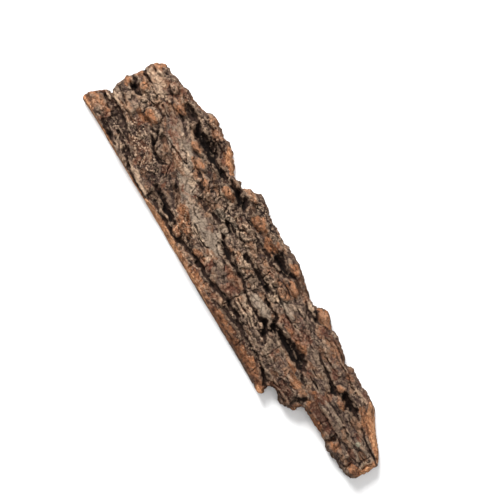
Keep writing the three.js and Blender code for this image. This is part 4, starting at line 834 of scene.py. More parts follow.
@dataclass
class OuterFace:
    """The rough outer face, as a height over the plan and masks of what each place is like."""

    plan: Plan
    noise: Noise
    form_drift: float = 0.8  # how far lumps follow the wander,
    patch_drift: float = 1.5  # and patches of skin,
    line_drift: float = 0.6  # furrows and cracks,
    cut_drift: float = 0.5  # and clean cuts
    plate_gap: float = 1.5  # depths, in millimetres
    chink: float = 0.9
    crack: float = 1.6
    pit: float = 1.0
    fold: float = 1.3
    crease: float = 0.8
    streak: float = 0.3
    crumb: float = 0.2
    calm_crumb: float = 0.12  # less on a smooth place
    layer: float = 1.05  # thickness of a flaking layer
    ledge_share: float = 0.6
    floor_softness: float = 0.3  # how gently deep places come to the least thickness
    patch_margin: float = 5.0  # how far round each the plan is changed
    furrow_margin: float = 8.0
    crack_margin: float = 3.0
    patch_edge: Span = (1.7, 0.25)  # squared distances where a patch ends and is full
    cut_edge: Span = (1.35, 0.7)  # shares of the half width, the same way
    crack_wall: Span = (1.2, 0.3)
    open_crack: Span = (0.42, 1)  # half width, and share of the full depth
    hair_crack: Span = (0.28, 0.75)
    wall: Span = (0.2, 1.15)  # shares of its reach where a furrow's wall starts and ends
    wall_curve: float = 1.3
    dark_half: Span = (0.3, 1.2)  # half widths between which a furrow's painted shade turns dark
    furrow_shift: float = 0.35  # moves all furrows across the grain
    least_half: float = 0.1  # half widths below these count as these
    least_width: float = 0.05
    block_bank: float = 1.1  # how far blocks and plates push a furrow's wall
    plate_bank: float = 0.5
    wander_along: tuple[Swell, ...] = (
        Swell(6.5, 4.5, 3.3, 1.1), Swell(2.3, 1.9, 7.1, 0.55), Swell(1.1, 1.1, 15.2, 0.3),
    )
    wander_across: tuple[Swell, ...] = (
        Swell(7.5, 4.5, 11.7, 0.8), Swell(2.1, 1.7, 5.9, 0.5), Swell(1.1, 1.1, 25.2, 0.3),
    )
    lump_edge: Swell = Swell(4.5, 3.2, 81, 0.35, 2)
    bank_edge: Swell = Swell(2.6, 1.7, 101, 0.5, 2)
    core_edge: Swell = Swell(2.4, 1.5, 121, 0.25, 2)
    crack_edge: Swell = Swell(2.2, 2.2, 9.1, 0.3)
    graininess: Swell = Swell(7, 5, 21, 0.45)
    splitting: Swell = Swell(8, 5, 31)
    shattering: Swell = Swell(5, 4, 41)
    folding: Swell = Swell(6.5, 3, 1.7)
    creasing: Swell = Swell(2.5, 1.7, 4.4)
    layering: Swell = Swell(8, 4.5, 61, 0.8, 2)
    streaks: Swell = Swell(8, 1.1, 51, 1, 2)
    crumbs: Swell = Swell(0.9, 0.8, 71, 1, 2)
    border: Swell = Swell(4.2, 2.6, 0, 0.75, 3)
    border_gap: float = 5.0  # between two kinds' levels
    plain_grain: float = 0.25  # graininess and streaks where no patch adds any
    plain_streak: float = 0.15
    grainy: Span = (0.05, 1.1)  # least and greatest graininess
    fold_mean: float = 0.25  # what the folded noise comes to on average
    splits: Span = (-0.2, 0.4)  # noise levels where plates part, blocks shatter, gaps open and pits come
    shatters: Span = (-0.3, 0.3)
    opens: Span = (-0.2, 0.3)
    pitted: Span = (-0.1, 0.4)
    plate_wall: Span = (0.09, 0)  # where the walls of gaps and pits start and end, in cell units
    block_wall: Span = (0.12, 0)
    pit_wall: Span = (0.3, 0.12)
    pit_draw: float = 0.75  # cells that draw more than this are pits
    opening: Swell = Swell(3.4, 2.2, 111)
    pitting: Swell = Swell(9, 6, 91)
    pit_size: Span = (2.7, 2)
    pit_shift: float = 120
    cavity_reach: float = 0.8  # how wide a dip counts as a cavity, in millimetres
    hollow_reach: float = 3.0  # and as a hollow
    core_rise: float = 0.7  # how far short of its upper bank the black painted shadow on a furrow's floor stops

    def __post_init__(self) -> None:
        """Builds the face on a plan grid."""
        plan = self.plan
        self.wander_x, self.wander_y = (
            sum(swell.over(self.noise, plan.x, plan.y) for swell in swells)
            for swells in (self.wander_along, self.wander_across)
        )
        self.skin = {kind: self._patches(kind) for kind in Skin}
        self.cut = self._cuts()
        x = plan.x + self.wander_x
        y = plan.y + self.wander_y + SLAB.slant * np.clip(plan.x, *SLAB.slanted)
        self.plate, self.block, self.grain = (self._pieces(grade, x, y) for grade in (PLATES, BLOCKS, GRAINS))
        # depth holds how dark each furrow's painted shade is; core is its black painted shadow, kept off the
        # upper bank
        carved, self.depth = self._carved()
        lower = np.roll(self.depth, -plan.steps(self.core_rise), axis=1)
        ragged = self.core_edge.over(self.noise, plan.x, plan.y)
        self.core = ramp(0.4, 0.95, np.minimum(self.depth, lower) + ragged)
        self.height, self.gap = self._relief(x, y, self._form() - carved, self._cracks())
        self.tint = 0.35 * self.plate.draw + 0.45 * self.block.draw + 0.2 * self.grain.draw
        self.hue = 0.5 + 0.25 * self.plate.lean + 0.25 * self.block.lean
        self.cavity = self.height - blurred(self.height, plan.steps(self.cavity_reach))
        self.hollow = self.height - blurred(self.height, plan.steps(self.hollow_reach))

    def _pushed(self, spot: tuple[slice, slice], drift: float) -> tuple[Array, Array]:
        """Places of a part of the plan, pushed about so that nothing keeps a drawn edge."""
        x, y = self.plan.x[spot], self.plan.y[spot]
        return x + drift * self.wander_x[spot], y + drift * self.wander_y[spot]

    def _patches(self, kind: Skin) -> Array:
        """Draws one kind of skin.

        Args:
            kind: Which.

        Returns:
            Its mask, from 0 to about 1.
        """
        mask = np.zeros(self.plan.x.shape)
        border = replace(self.border, level=self.border_gap * list(Skin).index(kind))
        ragged = border.over(self.noise, self.plan.x, self.plan.y)
        for x, y, half_length, half_width, strength in PATCHES[kind]:
            ends, sides = (x - half_length, x + half_length), (y - half_width, y + half_width)
            spot = self.plan.window(ends, sides, self.patch_margin)
            pushed_x, pushed_y = self._pushed(spot, self.patch_drift)
            u, v = (pushed_x - x) / half_length, (pushed_y - y) / half_width
            share = strength * ramp(*self.patch_edge, u * u + v * v + ragged[spot])
            mask[spot] = np.maximum(mask[spot], share)
        return mask

    def _cuts(self) -> Array:
        """Draws the clean cuts along the edges.

        Returns:
            Their mask.
        """
        mask = np.zeros(self.plan.x.shape)
        for line in CUTS:
            away, half = line_field(self.plan.x, self.plan.y + self.cut_drift * self.wander_y, line)
            mask = np.maximum(mask, ramp(*self.cut_edge, away / np.maximum(half, self.least_half)))
        return mask

    def _form(self) -> Array:
        """Raises the crown, its lumps and its hollows.

        Returns:
            Heights before anything is carved.
        """
        x, y = self._pushed(np.s_[:, :], self.form_drift)
        height = SLAB.crown(x, y)
        uneven = self.lump_edge.over(self.noise, self.plan.x, self.plan.y)
        hollows = tuple((*spot[:4], -spot[4]) for spot in HOLLOWS)
        for lump_x, lump_y, half_length, half_width, high in LUMPS + KNOBS + hollows:
            out = ((x - lump_x) / half_length) ** 2 + ((y - lump_y) / half_width) ** 2 + uneven
            height = height + high * ramp(0, SLAB.lump_flank, 1 - out)
        return height

    def _pieces(self, grade: Grade, x: Array, y: Array) -> Pieces:
        """Breaks the face into pieces.

        Args:
            grade: Their sizes.
            x, y: Pushed places.

        Returns:
            How the pieces lie.
        """
        cells = self.noise.cells(x / grade.length + grade.shift, y / grade.width + grade.shift)
        lean_x, lean_y = cells.lean[..., 0], cells.lean[..., 1]
        slope = lean_x * cells.off_x * grade.length + lean_y * cells.off_y * grade.width
        relief = grade.step * (cells.draw - 0.5) + grade.tilt * slope
        relief = relief + grade.dome * (grade.dome_reach - cells.near)
        return Pieces(relief, cells.gap, cells.draw, lean_x)

    def _carved(self) -> tuple[Array, Array]:
        """Carves the furrows, whose walls follow the blocks.

        Returns:
            What they take out, in millimetres, and how dark their painted shade is.
        """
        depth = np.zeros(self.plan.x.shape)
        shade = depth.copy()
        ragged = self.block_bank * (self.block.draw - 0.5) + self.plate_bank * (self.plate.draw - 0.5)
        ragged = ragged + self.bank_edge.over(self.noise, self.plan.x, self.plan.y)
        for deep, dark, line in FURROWS:
            widest = max(point[2] for point in line)
            xs, ys, _ = zip(*line)
            spot = self.plan.window(xs, ys, self.furrow_margin)
            x, y = self._pushed(spot, self.line_drift)
            away, half = line_field(x, y + self.furrow_shift, line)
            half = np.maximum(half, self.least_half)
            reach = np.maximum(half + 0.2, 0.4) * SLAB.furrow_bank
            away = away + ragged[spot] * np.minimum(reach, 1.6) * 0.8
            share = 1 - ramp(*self.wall, away / reach)
            depth[spot] = np.maximum(depth[spot], deep * np.sqrt(half / widest) * share**self.wall_curve)
            shade[spot] = np.maximum(shade[spot], dark * share * (0.6 + 0.4 * ramp(*self.dark_half, half)))
        return depth, shade

    def _cracks(self) -> Array:
        """Draws the thin cracks, fainter where they are hairlines.

        Returns:
            Their mask.
        """
        mask = np.zeros(self.plan.x.shape)
        for lines, (half_width, strength) in ((OPEN_CRACKS, self.open_crack), (HAIR_CRACKS, self.hair_crack)):
            for line in lines:
                spot = self.plan.window(*zip(*line), self.crack_margin)
                x, y = self._pushed(spot, self.line_drift)
                away, _ = line_field(x, y, line)
                width = half_width + self.crack_edge.over(self.noise, x, y)
                share = strength * ramp(*self.crack_wall, away / np.maximum(width, self.least_width))
                mask[spot] = np.maximum(mask[spot], share)
        return mask

    def _relief(self, x: Array, y: Array, height: Array, crack: Array) -> tuple[Array, Array]:
        """Adds pieces, folds, ledges, grains, gaps and cracks.

        Args:
            x, y: Pushed places.
            height: Heights of the carved form.
            crack: Mask of the thin cracks.

        Returns:
            The finished heights, and a mask of the gaps.
        """
        noise, skin, lost = self.noise, self.skin, Calming()
        calm = np.clip(np.maximum(skin[Skin.CALM], 1.3 * self.cut), 0, 1)
        grainy = skin[Skin.GRAINY] + self.plain_grain + self.graininess.over(noise, x, y)
        grainy = np.clip(grainy, *self.grainy)
        streaked = np.clip(skin[Skin.STREAKED] + self.plain_streak, 0, 1)
        cracked = 0.9 * skin[Skin.CRACKED] - 0.25
        split = ramp(*self.splits, self.splitting.over(noise, x, y) + cracked) * (1 - lost.splits * calm)
        shattered = ramp(*self.shatters, self.shattering.over(noise, x, y) + cracked)
        shattered = shattered * (1 - lost.chinks * calm)

        height = height + self.plate.relief * (1 - lost.plates * calm)
        height = height + self.block.relief * (0.4 + 0.6 * shattered) * (1 - lost.blocks * calm)
        folds = np.abs(self.folding.over(noise, x, y)) - self.fold_mean
        creases = np.abs(self.creasing.over(noise, x, y)) - self.fold_mean
        height = height + self.fold * folds * (1 - lost.folds * calm)
        height = height + self.crease * creases * (1 - lost.creases * calm)
        height = self._ledges(height, x, y, self.ledge_share * (1 - lost.ledges * calm))
        height = height + self.grain.relief * grainy * (1 - lost.grains * calm)
        height = height + self.streak * streaked * self.streaks.over(noise, x, y)
        height = height + (self.crumb - self.calm_crumb * calm) * self.crumbs.over(noise, x, y)

        broken = ramp(*self.opens, self.opening.over(noise, x, y) + 0.5 * cracked)
        opened = ramp(*self.plate_wall, self.plate.gap) * split * broken
        chinks = ramp(*self.block_wall, self.block.gap) * shattered * broken
        pit = noise.cells(x / self.pit_size[0] + self.pit_shift, y / self.pit_size[1] + self.pit_shift)
        pits = ramp(*self.pit_wall, pit.near) * (pit.draw > self.pit_draw)
        pits = pits * ramp(*self.pitted, self.pitting.over(noise, x, y))
        height = height - self.plate_gap * opened - self.chink * chinks - self.crack * crack - self.pit * pits
        floor = SLAB.inner_height(self.plan.y) + SLAB.thinnest
        height = floor + np.logaddexp(0, (height - floor) / self.floor_softness) * self.floor_softness
        return height, np.clip(0.9 * opened + 1.1 * crack + 0.5 * chinks + 0.7 * pits, 0, 1)

    def _ledges(self, height: Array, x: Array, y: Array, share: Array) -> Array:
        """Breaks slopes into the ledges that flaking layers leave.

        Args:
            height: Heights so far.
            x, y: Pushed places.
            share: How fully each place is stepped.

        Returns:
            The stepped heights.
        """
        level = (height + self.layering.over(self.noise, x, y)) / self.layer
        whole = np.floor(level)
        stepped = whole + ramp(0.34, 0.66, level - whole)
        return height + share * (stepped - level) * self.layer


@dataclass
class Bark:
    """The whole slab as one closed surface, fine enough to show its cracks. Sizes are in millimetres."""

    plan: Plan
    rim: Rim
    face: OuterFace
    noise: Noise
    step: float = 0.4  # size of a cell of the solid grid
    most_triangles: int = 196_000
    low_corner: Triple = (-121.6, -29.6, -1.2)
    high_corner: Triple = (121.6, 29.6, 19.2)
    reach: float = 2.0  # how far the ragged surface may lie from the plain one
    brow_reach: float = 1.5  # blur of the height that the edge leans up to
    rise: tuple[float, ...] = (0, 0.62, 1, 1.6)  # heights on the edge, as shares of its own height,
    inset: tuple[float, ...] = (0, 0.5, 1, 2.2)  # and how much of the bevel it has leant in there
    sawn_y: Span = (-21, -24)  # the sawn lower edge comes in over these places,
    sawn_x: Span = (52, 46)  # and ends here
    slant_x: Span = (86, 90)  # the slanting cut comes in over these
    slant_y: Span = (3, 5)
    layers: Swell = Swell(11, 8, 0, upward=0.9)
    crumble: Swell = Swell(2.4, 2, 9, upward=1.4)
    shove: Swell = Swell(2.2, 2.2, 40, 0.4, upward=1.2)
    notches: Swell = Swell(4.6, 4.6, 70, upward=2.4)
    fray: tuple[Swell, ...] = (Swell(2.8, 2.8, 33, 0.5), Swell(1.2, 1.2, 44, 0.35))
    ripple: tuple[Swell, ...] = (Swell(16, 1.8, 3, 0.28, 3), Swell(3, 3, 13, 0.2))
    pores: Swell = Swell(3.2, 1.1, 23)
    chip_length: float = 3.4
    chip_height: float = 1.5

    def __post_init__(self) -> None:
        """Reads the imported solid's box and smooths the height that the edge leans up to."""
        self.brow = blurred(self.face.height, self.plan.steps(self.brow_reach))
        self.low, self.high = (np.array(corner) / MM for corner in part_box(NODE))

    def build(self) -> Piece:
        """Makes the piece.

        Returns:
            The object, in metres, with the masks that its material reads.
        """
        corner = np.array(self.low_corner)
        places, quads = largest_part(*SurfaceNet(self.step).skin(self._solid(corner), corner))
        LOG.info("raw surface: %d points, %d quads", len(places), len(quads))
        rough = mesh_object("bark_raw", places * MM, quads)
        piece = thinned(rough, self.most_triangles, "cork_bark_skin")
        self._settle(piece.data)
        self._mask(piece.data)
        piece.data.shade_smooth()
        return piece

    def dress(self, piece: Piece) -> None:
        """Gives the piece its material.

        Args:
            piece: What build made.
        """
        material = CorkMaterial(CorkFinish(), CorkGrain().build())
        piece.data.materials.append(material.build("cork_bark"))

    def _solid(self, corner: Array) -> Array:
        """Fills an even grid with the solid, ragged near its surface and plain elsewhere.

        Args:
            corner: The grid's first point.

        Returns:
            Its signed field, negative inside.
        """
        count = np.ceil((np.array(self.high_corner) - corner) / self.step).astype(int) + 1
        xs, ys, zs = (corner[a] + self.step * np.arange(count[a]) for a in range(3))
        x, y = np.meshgrid(xs, ys, indexing="ij")
        height = self.plan.read(self.face.height, x, y)
        radius = round(self.reach / self.step)
        lowest, highest = windowed(height, radius, np.minimum), windowed(height, radius, np.maximum)
        z = zs[None, None, :]
        x, y, lowest, highest, height = (v[..., None] for v in (x, y, lowest, highest, height))
        side = self._side(x, y, z)
        inner = SLAB.inner_height(y)
        solid = np.maximum(np.maximum(z - height, side), inner - z).astype(np.float32)
        band = (z > lowest - 1) | (np.abs(side) < 1.5 * self.reach) | (z < inner + self.reach)
        band &= (z < highest + 1) & (side < 1.5 * self.reach)
        i, j, k = np.nonzero(band)
        solid[i, j, k] = self._ragged(*(v.astype(np.float32) for v in (xs[i], ys[j], zs[k])))
        return solid

    def _side(self, x: Array, y: Array, z: Array) -> Array:
        """Measures to the plain edge: beneath the lip it stands in a little, above it leans inwards.

        Args:
            x, y, z: Places in the solid grid.

        Returns:
            Signed distances, negative inside.
        """
        inner = SLAB.inner_height(y)
        lip = inner + SLAB.edge_lip
        rise = (z - lip) / np.maximum(self.plan.read(self.brow, x, y) - lip, 1)
        inset = self.plan.read(self.rim.bevel, x, y) * np.interp(rise, self.rise, self.inset)
        inset = inset + SLAB.foot_inset * np.clip(1 - (z - inner) / SLAB.edge_lip, 0, 1)
        return self.plan.read(self.rim.distance, x, y) + inset

    def _ragged(self, x: Array, y: Array, z: Array) -> Array:
        """Works out the field with flaking layers, crumbling edges and the inner face's grain.

        Args:
            x, y, z: Places in the solid grid.

        Returns:
            The field there, negative inside.
        """
        noise, plan = self.noise, self.plan
        bend = z + 0.8 * plan.read(self.face.wander_y, x, y)
        layers = self.layers.through(noise, x, y, bend)
        crumble = self.crumble.through(noise, x, y, z)
        push_x = x + 0.5 * crumble
        push_y = y + 0.7 * layers + self.shove.through(noise, x, y, z)
        top = z - plan.read(self.face.height, push_x, push_y)

        sawn = ramp(*self.sawn_y, y) * ramp(*self.sawn_x, x)
        sawn = np.maximum(sawn, 0.9 * ramp(*self.slant_x, x) * ramp(*self.slant_y, y))
        along = (0.8 * x + 0.6 * y + 0.6 * crumble) / self.chip_length
        chip = noise.cells(along, (bend + 0.4 * crumble) / self.chip_height)
        notch = ramp(0.1, 0.7, self.notches.through(noise, x, y, z))
        worn = 0.9 * (chip.draw - 0.35) + 0.35 * ramp(0.12, 0, chip.gap) + 0.4 * layers
        worn = worn + 0.3 * crumble + 0.9 * notch
        fray = sum(swell.over(noise, x, y) for swell in self.fray)
        straight = sawn * ramp(1.6, 0.5, -plan.read(self.rim.distance, x, y))
        side = self._side(push_x, y + 0.35 * layers, z) + (worn + fray - 0.4) * (1 - 0.8 * straight)
        for axis, place in enumerate((x, y)):
            side = np.maximum(side, np.maximum(self.low[axis] - place, place - self.high[axis]))

        ripple = sum(swell.over(noise, x, y) for swell in self.ripple)
        pores = 0.9 * ramp(0.35, 0.7, self.pores.over(noise, x, y))
        under = SLAB.inner_height(y) + np.maximum(ripple, 0) + pores - z
        return np.maximum(np.maximum(top, side), under)

    def _settle(self, mesh: Mesh) -> None:
        """Brings the surface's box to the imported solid's box.

        Args:
            mesh: The surface, in metres.
        """
        co = vertex_array(mesh)
        low, high = (np.array(v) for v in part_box(NODE))
        mine_low, mine_high = co.min(0), co.max(0)
        wanted_high = np.array([high[0], high[1], min(high[2], mine_high[2])])
        co = low + (co - mine_low) * (wanted_high - low) / (mine_high - mine_low)
        mesh.vertices.foreach_set("co", co.ravel())
        mesh.update()
        sizes = (np.round(size, 5) for size in (mine_high - mine_low, wanted_high - low))
        LOG.info("skin settled from %s to %s", *sizes)

    def _mask(self, mesh: Mesh) -> None:
        """Stores what each point of the surface is like, for the material.

        Args:
            mesh: The settled surface, in metres.
        """
        x, y, z = (vertex_array(mesh) / MM).T
        normal = np.empty(len(mesh.vertices) * 3, np.float32)
        mesh.vertices.foreach_get("normal", normal)
        upright = normal.reshape(-1, 3)[:, 2]
        face, plan = self.face, self.plan
        inset = -plan.read(self.rim.distance, x, y)
        top = plan.read(blurred(face.height, plan.steps(1.0)), x, y)
        lip = SLAB.inner_height(y) + SLAB.edge_lip
        below = (top - z) / np.maximum(top - lip, 1)
        flank = ramp(2.6, 1.4, inset) * np.maximum(ramp(0.5, 0.2, upright), ramp(0.5, 0.75, below))
        grids = {kind.value: face.skin[kind] for kind in Skin}
        grids |= {"cut": face.cut, "tint": face.tint, "hue": face.hue, "gap": face.gap, "cavity": face.cavity}
        grids |= {"hollow": face.hollow, "depth": face.depth, "core": face.core}
        masks = {name: plan.read(grid, x, y) for name, grid in grids.items()}
        for name in ("cream", "ash", "gap", "cavity", "hollow", "depth", "core"):
            masks[name] = masks[name] * (1 - flank)
        masks["lichen"] = ramp(1.2, 0.5, np.hypot(x - LICHEN[0], y - LICHEN[1]) / LICHEN[2])
        masks["flank"] = flank
        masks["belly"] = ramp(-0.35, -0.7, upright) * ramp(3.0, 2.0, z - SLAB.inner_height(y))
        for name, values in masks.items():
            layer = mesh.attributes.new(name, "FLOAT", "POINT")
            layer.data.foreach_set("value", values.astype(np.float32))


def vertex_array(mesh: Mesh) -> Array:
    """Reads the mesh's points.

    Args:
        mesh: The mesh.

    Returns:
        Rows of x, y and z.
    """
    co = np.empty(len(mesh.vertices) * 3)
    mesh.vertices.foreach_get("co", co)
    return co.reshape(-1, 3)


@dataclass(frozen=True)
class SurfaceNet:
    """Turns a signed field on an even grid into a closed surface."""

    step: float  # distance between the grid's points, in millimetres
    pulls: int = 3  # how often the points are drawn towards the zero surface
    pull: float = 0.6  # how far they go each time, as a share of the way,
    longest: float = 0.35  # and the longest way that counts, in grid steps
    least_slope: float = 1e-3  # a squared slope of the field below this counts as this
    least_way: float = 1e-9
    cell_end: float = 0.999  # how far across its cell a point may lie

    def skin(self, field: Array, corner: Array) -> tuple[Array, Array]:
        """Sets a point in each cell that the surface passes through, and joins the points.

        Args:
            field: Values at the grid's points, negative inside.
            corner: Place of the first point.

        Returns:
            The surface's points, and its quads, which face outwards.
        """
        inside = field < 0
        nx, ny, nz = field.shape
        filled = sum(inside[a:nx - 1 + a, b:ny - 1 + b, c:nz - 1 + c].astype(np.int8) for a, b, c in CORNERS)
        active = (filled > 0) & (filled < len(CORNERS))
        cell = np.argwhere(active)
        number = np.full(active.shape, -1, np.int32)
        number[active] = np.arange(len(cell))
        places = self._crossings(field, cell)
        for _ in range(self.pulls):
            places = self._drawn_to_zero(field, places)
        return corner + self.step * places, self._quads(inside, number)

    def _crossings(self, field: Array, cell: Array) -> Array:
        """Finds the middle of the places where the surface crosses each cell's edges.

        Args:
            field: Values at the grid's points.
            cell: Rows of cell numbers.

        Returns:
            A point for each cell, in grid steps.
        """
        values = {c: field[cell[:, 0] + c[0], cell[:, 1] + c[1], cell[:, 2] + c[2]] for c in CORNERS}
        total = np.zeros((len(cell), 3))
        crossings = np.zeros(len(cell))
        for start, axis in product(CORNERS, range(3)):
            if start[axis]:
                continue
            end = tuple(1 if a == axis else v for a, v in enumerate(start))
            here, there = values[start], values[end]
            crossed = (here < 0) != (there < 0)
            point = np.tile(np.array(start, float), (np.count_nonzero(crossed), 1))
            point[:, axis] = here[crossed] / (here[crossed] - there[crossed])
            total[crossed] += point
            crossings[crossed] += 1
        return cell + total / crossings[:, None]

    def _drawn_to_zero(self, field: Array, places: Array) -> Array:
        """Moves points some way towards the place where the field is zero, which keeps edges crisp.

        Args:
            field: Values at the grid's points.
            places: Points, in grid steps.

        Returns:
            The moved points.
        """
        cell = np.minimum(places.astype(int), np.array(field.shape) - 2)
        part = places - cell
        value = np.zeros(len(places))
        slope = np.zeros((len(places), 3))
        for corner in CORNERS:
            here = field[tuple((cell + corner).T)]
            weight = [part[:, a] if corner[a] else 1 - part[:, a] for a in range(3)]
            value += here * weight[0] * weight[1] * weight[2]
            for axis in range(3):
                u, v = (a for a in range(3) if a != axis)
                slope[:, axis] += here * (1 if corner[axis] else -1) * weight[u] * weight[v]
        steep = np.maximum((slope**2).sum(1), self.least_slope)
        move = -slope * (value / steep)[:, None]
        length = np.maximum(np.linalg.norm(move, axis=1, keepdims=True), self.least_way)
        moved = places + move * np.minimum(1, self.longest / length) * self.pull
        return np.clip(moved, cell, cell + self.cell_end)

    def _quads(self, inside: Array, number: Array) -> Array:
        """Joins the four cells round each grid edge that the surface crosses.

        Args:
            inside: Which of the grid's points are inside.
            number: Number of each cell's point.

        Returns:
            Rows of four point numbers.
        """
        quads = []
        for axis in range(3):
            u, v = (axis + 1) % 3, (axis + 2) % 3
            ahead = np.take(inside, np.arange(1, inside.shape[axis]), axis=axis)
            behind = np.take(inside, np.arange(inside.shape[axis] - 1), axis=axis)
            for leaving in (True, False):
                edge = np.argwhere((behind & ~ahead) if leaving else (ahead & ~behind))
                edge = edge[(edge[:, u] > 0) & (edge[:, v] > 0)]
                around = []
                for du, dv in ((-1, -1), (0, -1), (0, 0), (-1, 0)):
                    shifted = edge.copy()
                    shifted[:, u] += du
                    shifted[:, v] += dv
                    around.append(number[tuple(shifted.T)])
                quad = np.stack(around, axis=1)
                quads.append(quad if leaving else quad[:, ::-1])
        return np.concatenate(quads)


def largest_part(places: Array, quads: Array) -> tuple[Array, Array]:
    """Drops loose bits, so that the surface is one piece.

    Args:
        places: The surface's points.
        quads: Its faces.

    Returns:
        The points and faces of the largest connected part.
    """
    label = np.arange(len(places))
    a, b = quads[:, :3].ravel(), quads[:, 1:].ravel()
    while True:
        low = np.minimum(label[a], label[b])
        fresh = label.copy()
        np.minimum.at(fresh, label[a], low)
        np.minimum.at(fresh, label[b], low)
        fresh = fresh[fresh]
        if np.array_equal(fresh, label):
            break
        label = fresh
    names, counts = np.unique(label, return_counts=True)
    kept = label == names[np.argmax(counts)]
    number = np.cumsum(kept) - 1
    quads = quads[kept[quads[:, 0]]]
    return places[kept], number[quads]


def mesh_object(name: str, places: Array, faces: Array) -> Piece:
    """Makes an object from arrays.

    Args:
        name: Its name.
        places: Its points.
        faces: Rows of point numbers, all of the same length.

    Returns:
        The object, in the scene.
    """
    mesh = bpy.data.meshes.new(name)
    mesh.vertices.add(len(places))
    mesh.vertices.foreach_set("co", places.astype(np.float32).ravel())
    mesh.loops.add(faces.size)
    mesh.loops.foreach_set("vertex_index", faces.astype(np.int32).ravel())
    mesh.polygons.add(len(faces))
    mesh.polygons.foreach_set("loop_start", np.arange(len(faces), dtype=np.int32) * faces.shape[1])
    mesh.update(calc_edges=True)
    return placed(name, mesh)


def placed(name: str, data: bpy.types.ID) -> Piece:
    """Puts an object into the scene.

    Args:
        name: Its name.
        data: Its mesh, light or camera.

    Returns:
        The object.
    """
    piece = bpy.data.objects.new(name, data)
    bpy.context.scene.collection.objects.link(piece)
    return piece


def thinned(piece: Piece, most: int, name: str) -> Piece:
    """Merges the faces of the flattest places until few enough are left.

    Args:
        piece: The object with too many faces, which is removed.
        most: How many triangles may be left.
        name: Name of the result.

    Returns:
        A new object.
    """
    triangles = sum(len(p.vertices) - 2 for p in piece.data.polygons)
    modifier = piece.modifiers.new("thin", "DECIMATE")
    modifier.ratio = min(1.0, most / triangles)
    graph = bpy.context.evaluated_depsgraph_get()
    mesh = bpy.data.meshes.new_from_object(piece.evaluated_get(graph), depsgraph=graph)
    mesh.name = name
    old = piece.data
    bpy.data.objects.remove(piece)
    bpy.data.meshes.remove(old)
    LOG.info("%s: %d triangles thinned to %d faces", name, triangles, len(mesh.polygons))
    return placed(name, mesh)


def linear(colour: Colour) -> tuple[float, ...]:
    """Turns an ordinary colour into a shader's.

    Args:
        colour: Red, green and blue from 0 to 255.

    Returns:
        The shader's four numbers.
    """
    shares = (value / 255 for value in colour)
    return (*(c / 12.92 if c <= 0.04045 else ((c + 0.055) / 1.055) ** 2.4 for c in shares), 1.0)


@dataclass(frozen=True)
class Weave:
    """A noise pattern of the material."""

    size: float  # of its features, in millimetres
    detail: float
    rough: float
    low: float = 0.0  # the noise's value where the pattern starts,
    high: float = 1.0  # and where it is full
    stretch: Triple | None = None  # small along an axis where the pattern runs long


@dataclass(frozen=True)
class Veil:
    """How a mask becomes a layer of colour."""

    coarse: float  # how far the coarse pattern breaks up its border,
    fine: float  # and the fine pattern
    low: float  # the mask's value where the layer starts to show,
    high: float  # and where it is full
    strength: float = 1.0  # how much it covers there


class Sketch:
    """Short words for adding nodes to a tree."""

    def __init__(self, tree: bpy.types.NodeTree) -> None:
        """Keeps the tree."""
        self.tree = tree

    def add(self, kind: str, inputs: dict | None = None, **settings: object) -> bpy.types.Node:
        """Adds a node.

        Args:
            kind: The node's type.
            inputs: Values, or sockets to link, by input name or number.
            settings: The node's own properties.

        Returns:
            The node.
        """
        node = self.tree.nodes.new(kind)
        for name, value in settings.items():
            setattr(node, name, value)
        for key, value in (inputs or {}).items():
            if isinstance(value, Socket):
                self.tree.links.new(value, node.inputs[key])
            else:
                node.inputs[key].default_value = value
        return node

    def math(self, operation: str, *values: object) -> Socket:
        """An operation on numbers."""
        return self.add("ShaderNodeMath", dict(enumerate(values)), operation=operation).outputs[0]

    def plus(self, *values: object) -> Socket:
        """A sum."""
        return self.math("ADD", *values)

    def less(self, *values: object) -> Socket:
        """A difference."""
        return self.math("SUBTRACT", *values)

    def times(self, *values: object) -> Socket:
        """A product."""
        return self.math("MULTIPLY", *values)

    def most(self, *values: object) -> Socket:
        """The greater of two."""
        return self.math("MAXIMUM", *values)

    def step(self, value: object, low: float, high: float) -> Socket:
        """Smooth step from 0 at low to 1 at high."""
        inputs = {"Value": value, "From Min": low, "From Max": high}
        return self.add("ShaderNodeMapRange", inputs, interpolation_type="SMOOTHSTEP").outputs[0]

    def mix(self, share: object, first: Socket | Colour, second: Socket | Colour) -> Socket:
        """Lays one colour over another.

        Args:
            share: How much of the second shows.
            first: A socket or a plain colour.
            second: The same.

        Returns:
            The mixed colour.
        """
        first, second = (linear(value) if isinstance(value, tuple) else value for value in (first, second))
        inputs = {0: share, 6: first, 7: second}
        return self.add("ShaderNodeMix", inputs, data_type="RGBA", blend_type="MIX").outputs[2]

    def mask(self, name: str) -> Socket:
        """One of the masks stored on the mesh."""
        return self.add("ShaderNodeAttribute", attribute_name=name).outputs["Fac"]

    def noise(self, place: Socket, weave: Weave) -> Socket:
        """Adds the noise that a pattern is made from.

        Args:
            place: Where it is read.
            weave: The pattern.

        Returns:
            The noise.
        """
        if weave.stretch:
            place = self.stretched(place, weave.stretch)
        scale = 1 / (weave.size * MM)
        inputs = {"Vector": place, "Scale": scale, "Detail": weave.detail, "Roughness": weave.rough}
        return self.add("ShaderNodeTexNoise", inputs).outputs["Fac"]

    def woven(self, place: Socket, weave: Weave) -> Socket:
        """A pattern from 0 to 1."""
        return self.step(self.noise(place, weave), weave.low, weave.high)

    def stretched(self, place: Socket, stretch: Triple) -> Socket:
        """Place with each axis scaled, so that a pattern runs long where the scale is small."""
        return self.add("ShaderNodeMapping", {"Vector": place, "Scale": stretch}).outputs[0]


